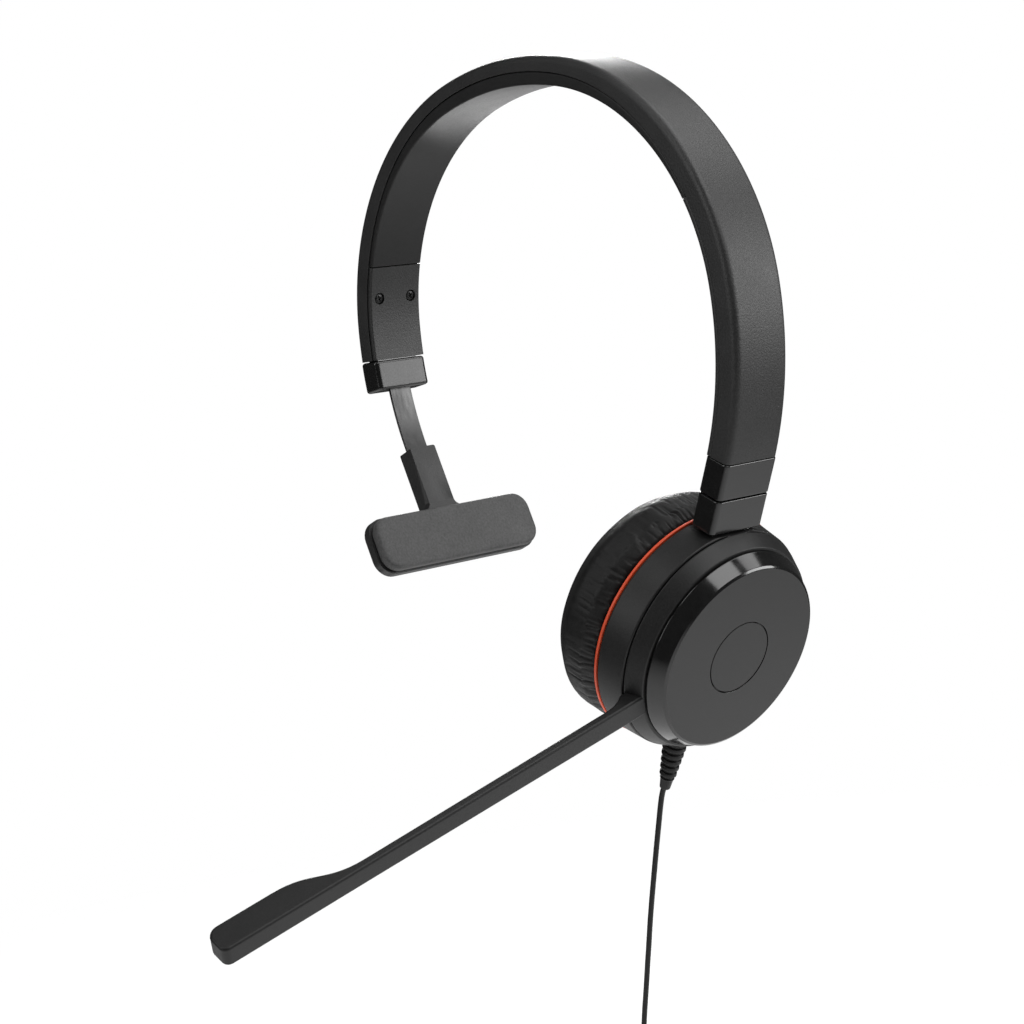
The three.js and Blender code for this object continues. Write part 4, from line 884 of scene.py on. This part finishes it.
def make_housing():
    wall = HOUSING_WALL
    shelf = HOUSING_TOP + wall
    bore = NECK_RADIUS - wall
    bowl = revolve("cup_shell", filleted([
        (NECK_RADIUS, -NECK_TOP, 0.2), (NECK_RADIUS, -HOUSING_TOP, 0.2),
        (HOUSING_TOP_RADIUS, -HOUSING_TOP, 0.55),
        (HOUSING_RIM_RADIUS, -HOUSING_RIM, 0.45), (HOUSING_RIM_RADIUS - wall, -HOUSING_RIM, 0.1),
        (HOUSING_TOP_RADIUS - wall, -shelf, 0.5), (bore, -shelf, 0.1), (bore, -NECK_TOP, 0.1)], 5),
        cup_frame, FINE_TURN)
    seat_half = half_band + GAP
    middle = -(CUP_SET_BACK + BAND_THICKNESS / 2)
    boolean(bowl, [block("under_seat", -8, 8, LAND_HEIGHT - 2.4, LAND_HEIGHT + 0.2,
                         -HOUSING_RIM + 1.9, -shelf + 0.5, cup_frame)], "UNION")
    boolean(bowl, [block("seat", -seat_half, seat_half, LAND_HEIGHT, LAND_HEIGHT + 9,
                         -HOUSING_RIM - 1, -HOUSING_TOP, cup_frame)])
    across = cup_frame @ Matrix.Translation((0, PIN_HEIGHT, middle)) @ Matrix.Rotation(math.pi / 2, 4, "Y")
    half = LUG_WIDTH / 2
    lug = revolve("lug", [(0, -half), (LUG_RADIUS, -half), (LUG_RADIUS, half), (0, half)], across, SMALL_TURN)
    boolean(lug, [block("stem", -half, half, LAND_HEIGHT - 1, PIN_HEIGHT,
                        middle - LUG_RADIUS, middle + LUG_RADIUS, cup_frame)], "UNION")
    boolean(bowl, [lug], "UNION")
    relief = RELIEF_NECK_RADIUS + GAP
    exit_frame = cup_frame @ Matrix.Translation((0, -HOUSING_TOP_RADIUS + 5, -RELIEF_DEPTH))
    down = exit_frame @ Matrix.Rotation(math.pi / 2, 4, "X")
    pin_bore = PIN_RADIUS + GAP
    boolean(bowl, [revolve("pin_bore", [(0, -20), (pin_bore, -20), (pin_bore, 20), (0, 20)], across, PIN_TURN),
                   revolve("relief_hole", [(0, 0), (relief, 0), (relief, 12), (0, 12)], down, SMALL_TURN)])
    finish_piece(bowl, "cup_housing", material="boom_black", bevel=0.2, segments=2)


def make_cover():
    """The cover's side is glossy and its face is satin, with a fine groove round the blank centre disc."""
    skirt, wall, recess = NECK_RADIUS - HOUSING_WALL - GAP, 1.6, DISC_THICKNESS + 0.2
    cover = revolve("cover_shell", filleted([
        (0, -wall - recess, 0), (skirt - wall, -wall - recess, 0), (skirt - wall, -NECK_TOP - 1.4, 0),
        (skirt, -NECK_TOP - 1.4, 0), (skirt, -COVER_DEPTH, 0), (COVER_RIM_RADIUS, -COVER_DEPTH, 0.35),
        (COVER_FACE_RADIUS + 0.15, -0.42, 0.5), (COVER_FACE_RADIUS - 0.55, 0, 0.5),
        (DISC_RADIUS + GAP, 0, 0.12), (DISC_RADIUS + GAP, -recess, 0), (0, -recess, 0)], 5), cup_frame, FINE_TURN)
    cover.data.materials.append(MATERIALS["gloss_black"])
    cover.data.materials.append(MATERIALS["cover_satin"])
    out = (cup_frame.to_3x3() @ Vector((0, 0, 1))).normalized()
    for face in cover.data.polygons:
        if face.normal.dot(out) > 0.97:
            face.material_index = 1
    finish_piece(cover, "cover")
    disc = revolve("cover_disc_blank", filleted([
        (0, -DISC_THICKNESS, 0), (DISC_RADIUS, -DISC_THICKNESS, 0),
        (DISC_RADIUS, -0.03, 0.16), (0, -0.03, 0)], 4), cup_frame, 128)
    finish_piece(disc, "cover_disc")


def make_trim():
    inner, under = TRIM_RADIUS - TRIM_WIDTH, -TRIM_TOP - TRIM_THICKNESS
    ring = revolve("trim_ring_bead", filleted([
        (inner, -TRIM_TOP, 0.1), (inner, under, 0.1), (TRIM_RADIUS, under, 0.3), (TRIM_RADIUS, -TRIM_TOP, 0.3)], 4),
        cup_frame, FINE_TURN)
    finish_piece(ring, "trim_ring")


# ------------------------------------------------------------------ ear cushion


def cushion_profile():
    top, bottom = -CUSHION_TOP, -(CUSHION_TOP + CUSHION_DEPTH)
    inner, outer = CUSHION_HOLE_RADIUS, CUSHION_RADIUS
    return filleted([
        (inner + 1.2, top, 1), (outer - 5.2, top, 1), (outer - 2.6, top - 0.6, 2), (outer - 0.9, top - 4.5, 4),
        (outer - 0.7, bottom + 6.5, 5), (outer - 4.2, bottom + 1.2, 4), (outer - 9, bottom + 0.1, 4),
        (inner + 4, bottom + 0.8, 3), (inner + 0.8, bottom + 4.4, 3), (inner + 0.7, top - 1.4, 1.2)], 5)


def crease(around, down, turns, run, sharp, shift):
    """A net of narrow creases from one rim of the cushion towards the other: 1 in a crease, 0 off it."""
    field = noise.noise(Vector((around.x * turns + shift, around.y * turns, down * run + shift)))
    return max(0, 1 - abs(field) * sharp) ** 0.7


def make_cushion():
    """A stuffed ring of thin leatherette, gathered into fine radial folds where it is sewn round its base."""
    cushion = revolve("ear_cushion_cover", cushion_profile(), cup_frame, CUSHION_TURN)
    inverse = cup_frame.inverted()
    for vertex in cushion.data.vertices:
        p = inverse @ (vertex.co / MM)
        radius = math.hypot(p.x, p.y)
        down = min(1, max(0, (-CUSHION_TOP - p.z) / CUSHION_DEPTH))
        outside = min(1, max(0, (radius - 26) / 5))
        angle = math.atan2(p.y, p.x)
        bent = angle + 0.035 * noise.noise(Vector((math.cos(angle) * 12, math.sin(angle) * 12, down * 7)))
        around = Vector((math.cos(bent), math.sin(bent), 0))
        folds = noise.noise(Vector((around.x * 15, around.y * 15, down * 1.4)))
        swell = noise.noise(Vector((around.x * 2.2, around.y * 2.2, 3)))
        gather = math.exp(-((down - 0.12) / 0.24) ** 2) * outside
        slack = math.exp(-((down - 0.45) / 0.3) ** 2) * outside
        lift = 0.25 * swell * outside + folds * (0.16 * gather + 0.08 * slack)
        lift -= gather * (0.55 * crease(around, down, 9, 1.6, 12, 2)
                          + 0.36 * crease(around, down, 17, 2.8, 9, 9))
        lift -= slack * 0.25 * crease(around, down, 6, 2.2, 14, 5)
        stretch = (radius + min(lift, 0.4)) / radius
        vertex.co = (cup_frame @ Vector((p.x * stretch, p.y * stretch, p.z))) * MM
    finish_piece(cushion, "ear_cushion")
    smooth = cushion.modifiers.new("smooth", "SUBSURF")
    smooth.levels = smooth.render_levels = 1


SCRIM_TOP = 21.6
SCRIM_THICKNESS = 1.2


def make_scrim():
    low, high = -(SCRIM_TOP + SCRIM_THICKNESS), -SCRIM_TOP
    r = CUSHION_HOLE_RADIUS - 0.5
    profile = filleted([(0, low, 0), (r, low, 0.4), (r, high, 0), (0, high, 0)], 4)
    finish_piece(revolve("scrim_disc", profile, cup_frame, 96), "speaker_scrim")


# ------------------------------------------------------------------ boom and microphone


def bezier(p, q, r, s, steps=14):
    """A cubic curve through the first and last of four points."""
    made = []
    for k in range(steps + 1):
        t = k / steps
        weights = (1 - t) ** 3, 3 * t * (1 - t) ** 2, 3 * t * t * (1 - t), t ** 3
        made.append(tuple(sum(w * v[i] for w, v in zip(weights, (p, q, r, s))) for i in (0, 1)))
    return made


def make_boom():
    bore = NECK_RADIUS + GAP
    ring = revolve("boom_ring_body", filleted([
        (bore, -RING_TOP, 0.2), (bore, -RING_BOTTOM, 0.1), (RING_BOTTOM_RADIUS, -RING_BOTTOM, 0.35),
        (RING_TOP_RADIUS, -RING_TOP, 0.5)], 5), boom_frame, FINE_TURN)
    finish_piece(ring, "boom_ring", material="boom_black")

    # The bar starts inside the ring, so that its front runs on to the ring's front without a step.
    root, root_back = bore + 1.6, -RING_BOTTOM + 0.1
    front = 0.05 - BOOM_FRONT
    arm_back, pod_back = -BOOM_FRONT - BOOM_THICKNESS, -BOOM_FRONT - POD_THICKNESS
    bend, tip, nose = (POD_FULL - POD_START) / 2, 3.4, 2
    flare = BOOM_ROOT + 9  # where the bar is down to its thickness
    side = [(root, front), (root, root_back)]
    side += bezier((BOOM_ROOT, root_back), (BOOM_ROOT + 3, arm_back), (BOOM_ROOT + 5, arm_back), (flare, arm_back))
    side += [(flare + (POD_START - BOOM_ROOT - 9) * k / 12, arm_back) for k in range(1, 12)]
    side += bezier((POD_START, arm_back), (POD_START + bend, arm_back), (POD_FULL - bend, pod_back),
                   (POD_FULL, pod_back))
    side += arc(BOOM_TIP - tip, pod_back + tip, tip, -90, 0, 10)
    side += arc(BOOM_TIP - nose, front - nose, nose, 0, 90, 8)
    side += [(BOOM_TIP - nose - (BOOM_TIP - nose - root) * k / 30, front) for k in range(1, 30)]
    turned_side = bar_frame @ Matrix.Rotation(math.pi / 2, 4, "X")
    end_half = BOOM_END_HEIGHT / 2
    bar = prism("boom_bar", side, -end_half, end_half, turned_side)
    inverse = bar_frame.inverted()
    for vertex in bar.data.vertices:
        p = inverse @ (vertex.co / MM)
        along = min(1, max(0, (POD_START - p.x) / (POD_START - BOOM_ROOT)))
        p.y *= 1 + along * (BOOM_ROOT_HEIGHT / BOOM_END_HEIGHT - 1)
        vertex.co = (bar_frame @ p) * MM
    rounded_edges(bar, 1.1, 6)
    room = end_half - POD_WALL
    room_end = BOOM_TIP - 4
    boolean(bar, [block("room", POD_FULL - 8, room_end, -room, room, pod_back - 1, front - 1.5, bar_frame)])
    finish_piece(bar, "boom_arm", material="boom_black")

    lid_half = room - GAP
    lid = block("pod_lid", POD_FULL - 2, room_end - GAP, -lid_half, lid_half, pod_back, pod_back + 1, bar_frame)
    port = [(0, -20), (PORT_RADIUS, -20), (PORT_RADIUS, 0), (0, 0)]
    boolean(lid, [revolve("port", port, bar_frame @ Matrix.Translation((CAPSULE_AT + step, 0, 0)), 24)
                  for step in (-PORT_PITCH, 0, PORT_PITCH)])
    finish_piece(lid, "microphone_pod_cover", material="boom_black", bevel=0.15)


# ------------------------------------------------------------------ strain relief, tie and plug


def make_relief():
    """A tapered rubber relief with open ribs."""
    root = -HOUSING_TOP_RADIUS + 1
    start = HOUSING_RIM_RADIUS + 0.3
    length = RELIEF_TIP - start
    ribbed = length * 0.78
    ribs = 6
    corners = [(0, root + 1.4, 0), (RELIEF_NECK_RADIUS, root + 1.4, 0), (RELIEF_NECK_RADIUS, -start, 0),
               (RELIEF_RADIUS, -start, 0.35)]
    for i in range(ribs):
        radius = RELIEF_RADIUS + (RELIEF_TIP_RADIUS + 0.7 - RELIEF_RADIUS) * i / ribs
        y, pitch = -start - ribbed * i / ribs, ribbed / ribs
        corners += [(radius, y - pitch * 0.5, 0.3), (radius - 0.75, y - pitch * 0.62, 0.15),
                    (radius - 0.8, y - pitch * 0.88, 0.15), (radius - 0.3, y - pitch, 0.3)]
    corners += [(RELIEF_TIP_RADIUS + 0.35, -start - ribbed - 0.3, 0.3), (RELIEF_TIP_RADIUS, -RELIEF_TIP + 0.3, 0.4),
                (RELIEF_TIP_RADIUS - 0.4, -RELIEF_TIP, 0.3), (0, -RELIEF_TIP, 0)]
    at = cup_frame @ Matrix.Translation((0, 0, -RELIEF_DEPTH)) @ Matrix.Rotation(-math.pi / 2, 4, "X")
    body = revolve("relief_ribbed", filleted(corners, 4), at, 64)
    finish_piece(body, "strain_relief", material="cord_jacket")


def make_tie():
    inner = COIL_MIDDLE_RADIUS - COIL_SECTION / 2 - GAP - 0.2
    outer = COIL_MIDDLE_RADIUS + COIL_SECTION / 2 + GAP
    half = COIL_WIDTH / 2 + GAP
    t = TIE_THICKNESS
    at = Matrix.Translation(COIL_CENTRE) @ Matrix.Rotation(-TIE_ANGLE * DEG, 4, "Y")
    outline = rounded_box(inner - t, outer + t, -half - t, half + t, 1.2)
    loop = prism("tie_band", outline, -TIE_WIDTH / 2, TIE_WIDTH / 2, at)
    boolean(loop, [prism("tie_room", rounded_box(inner, outer, -half, half, 0.7), -TIE_WIDTH, TIE_WIDTH, at)])
    return finish_piece(loop, "cord_tie", bevel=0.18)


def make_plug():
    x, y, z = TAIL_ROUTE[-1]
    at = Matrix.Translation((x, y, z - GAP))
    end, r = -PLUG_GRIP_LENGTH, PLUG_GRIP_RADIUS
    neck = CORD_DIAMETER / 2
    corners = [(0, 0, 0), (neck + 0.6, 0, 0.3), (neck + 0.7, -1.6, 0.2)]
    rib_pitch = 1.5
    for i in range(3):
        corners += [(neck + 0.25, -1.8 - rib_pitch * i, 0.1), (neck + 0.3, -2.3 - rib_pitch * i, 0.1),
                    (neck + 1.0, -2.6 - rib_pitch * i, 0.2), (neck + 1.05, -3.1 - rib_pitch * i, 0.2)]
    corners += [(r - 0.8, -7.6, 0.8), (r, -9.8, 1.2), (r, end + 1.2, 1), (r - 0.8, end, 0.3), (0, end, 0)]
    pieces = [finish_piece(revolve("plug_grip_body", filleted(corners, 4), at, 64), "plug_grip")]
    shaft, core, top = PLUG_SHAFT_RADIUS, 0.9, end - GAP
    bore = core + GAP
    for node, length in (("plug_sleeve", 5.6), ("plug_ring_lower", 1.9), ("plug_ring_upper", 1.9)):
        low = top - length
        profile = filleted([(bore, top, 0), (bore, low, 0), (shaft, low, 0.12), (shaft, top, 0.12)], 3)
        pieces.append(finish_piece(revolve(node + "_metal", profile, at, 48), node))
        top -= length + 0.35
    profile = filleted([(0, top, 0), (shaft, top, 0.12), (shaft, top - 0.7, 0.2), (1.15, top - 1.5, 0.4),
                        (1.7, top - 2.4, 0.5), (1.2, top - 3.4, 0.6), (0.4, top - 3.9, 0.3), (0, top - 3.9, 0)], 4)
    pieces.append(finish_piece(revolve("plug_tip_metal", profile, at, 48), "plug_tip"))
    profile = [(0, end - GAP), (core, end - GAP), (core, top + GAP), (0, top + GAP)]
    pieces.append(finish_piece(revolve("plug_core", profile, at, 32), "plug_insulator"))
    return pieces


make_headband()
make_sliders()
make_collars()
make_temple_arm()
make_temple_pad()
make_yoke()
make_housing()
make_cover()
make_trim()
make_cushion()
make_scrim()
make_boom()
make_relief()
tie = make_tie()
plug = make_plug()

# The hidden pieces keep their CAD shape, with smooth shading and their own material.
for name, node in frame["nodes"].items():
    if not node.hide_render:
        node.data.materials.clear()
        node.data.materials.append(MATERIALS[SLOT_OF[name]])
        node.data.shade_smooth()
        node.data.set_sharp_from_angle(angle=30 * DEG)

# ------------------------------------------------------------------ floor and light

FLOOR_DROP = 0.012
FLOOR_RADIUS = 6
FLOOR_FADE = (0.25, 0.7)  # metres from the middle, between which the floor melts into the room
FLOOR_GLOW = 0.35  # keeps the floor white where the lights do not reach it
SOFT_ROOM = 0.05  # the room's light on the object; the camera sees the room as white


def make_floor():
    """A pale round floor that melts into the pale room at its edge."""
    lowest = cad_box[0].z - FLOOR_DROP
    bm = bmesh.new()
    bmesh.ops.create_circle(bm, cap_ends=True, segments=128, radius=FLOOR_RADIUS)
    mesh = bpy.data.meshes.new("floor")
    bm.to_mesh(mesh)
    bm.free()
    floor = bpy.data.objects.new("floor", mesh)
    floor.location = (0, 0, lowest)
    scene.collection.objects.link(floor)
    n = Nodes("floor_paint")
    n.set(Base_Color=n.mixed(n.ranged(n.noise(3, 3), 0, 1), grey(0.86), grey(0.89)), Roughness=0.9,
          Specular_IOR_Level=0.1, Emission_Color=(1, 1, 1, 1), Emission_Strength=FLOOR_GLOW)
    length = n.add("ShaderNodeVectorMath", {0: n.place}, operation="LENGTH").outputs["Value"]
    fade = n.ranged(length, 0, 1, *FLOOR_FADE)
    clear = n.add("ShaderNodeBsdfTransparent").outputs[0]
    blend = n.add("ShaderNodeMixShader", {0: fade, 1: n.shader.outputs[0], 2: clear})
    n.tree.links.new(blend.outputs[0], n.tree.nodes["Material Output"].inputs["Surface"])
    floor.data.materials.append(n.material)
    floor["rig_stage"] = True


def make_light(name, at, target, size, power, spread):
    light = bpy.data.lights.new(name, "AREA")
    light.energy = power
    light.size = size
    light.spread = spread * DEG
    lamp = bpy.data.objects.new(name, light)
    lamp.location = at
    lamp.rotation_mode = "QUATERNION"
    lamp.rotation_quaternion = (Vector(target) - Vector(at)).to_track_quat("-Z", "Y")
    lamp.visible_camera = False
    scene.collection.objects.link(lamp)


def make_world():
    world = bpy.data.worlds.new("room")
    world.use_nodes = True
    scene.world = world
    tree = world.node_tree
    seen = tree.nodes["Background"]
    seen.inputs["Color"].default_value = (1, 1, 1, 1)
    seen.inputs["Strength"].default_value = 1.0
    soft = tree.nodes.new("ShaderNodeBackground")
    soft.inputs["Color"].default_value = (1, 1, 1, 1)
    soft.inputs["Strength"].default_value = SOFT_ROOM
    ray = tree.nodes.new("ShaderNodeLightPath")
    pick = tree.nodes.new("ShaderNodeMixShader")
    tree.links.new(ray.outputs["Is Camera Ray"], pick.inputs[0])
    tree.links.new(soft.outputs[0], pick.inputs[1])
    tree.links.new(seen.outputs[0], pick.inputs[2])
    tree.links.new(pick.outputs[0], tree.nodes["World Output"].inputs["Surface"])
    scene.view_settings.view_transform = "Standard"


MIDDLE = (0.0, 0.0, -0.13)
# Each lamp: its place, what it points at, its size in metres, its power in watts and its spread in degrees.
LIGHTS = {
    "key_right": ((1.0, 0.15, 0.95), MIDDLE, 0.8, 10, 180),
    "side_back": ((1.05, 1.0, 0.1), MIDDLE, 0.6, 11, 180),
    "top_back": ((0.3, 0.65, 0.8), MIDDLE, 0.6, 4, 180),
    "crown_beam": ((-0.85, 0.75, 0.5), (0.035, 0, 0.0), 0.2, 0.06, 14),
    "liner_beam": ((-0.65, 0.75, -0.42), (-0.01, 0, -0.01), 0.12, 0.012, 10),
    "boom_light": ((0.1, -0.7, 0.9), (0.05, -0.12, -0.17), 0.5, 3, 180),
    "rim_back": ((-0.85, 0.75, 0.6), MIDDLE, 0.5, 4, 180),
    "front_left": ((-0.25, -1.1, 0.3), MIDDLE, 0.6, 3.5, 180),
    "floor_wash": ((0.0, 0.3, 1.3), MIDDLE, 0.8, 3, 180),
}
make_floor()
make_world()
for lamp_name, settings in LIGHTS.items():
    make_light(lamp_name, *settings)

Vector(CORD_ROUTE[0]) * MM
visual_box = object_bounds()
[[list(corner) for corner in box] for box in (cad_box, visual_box)]
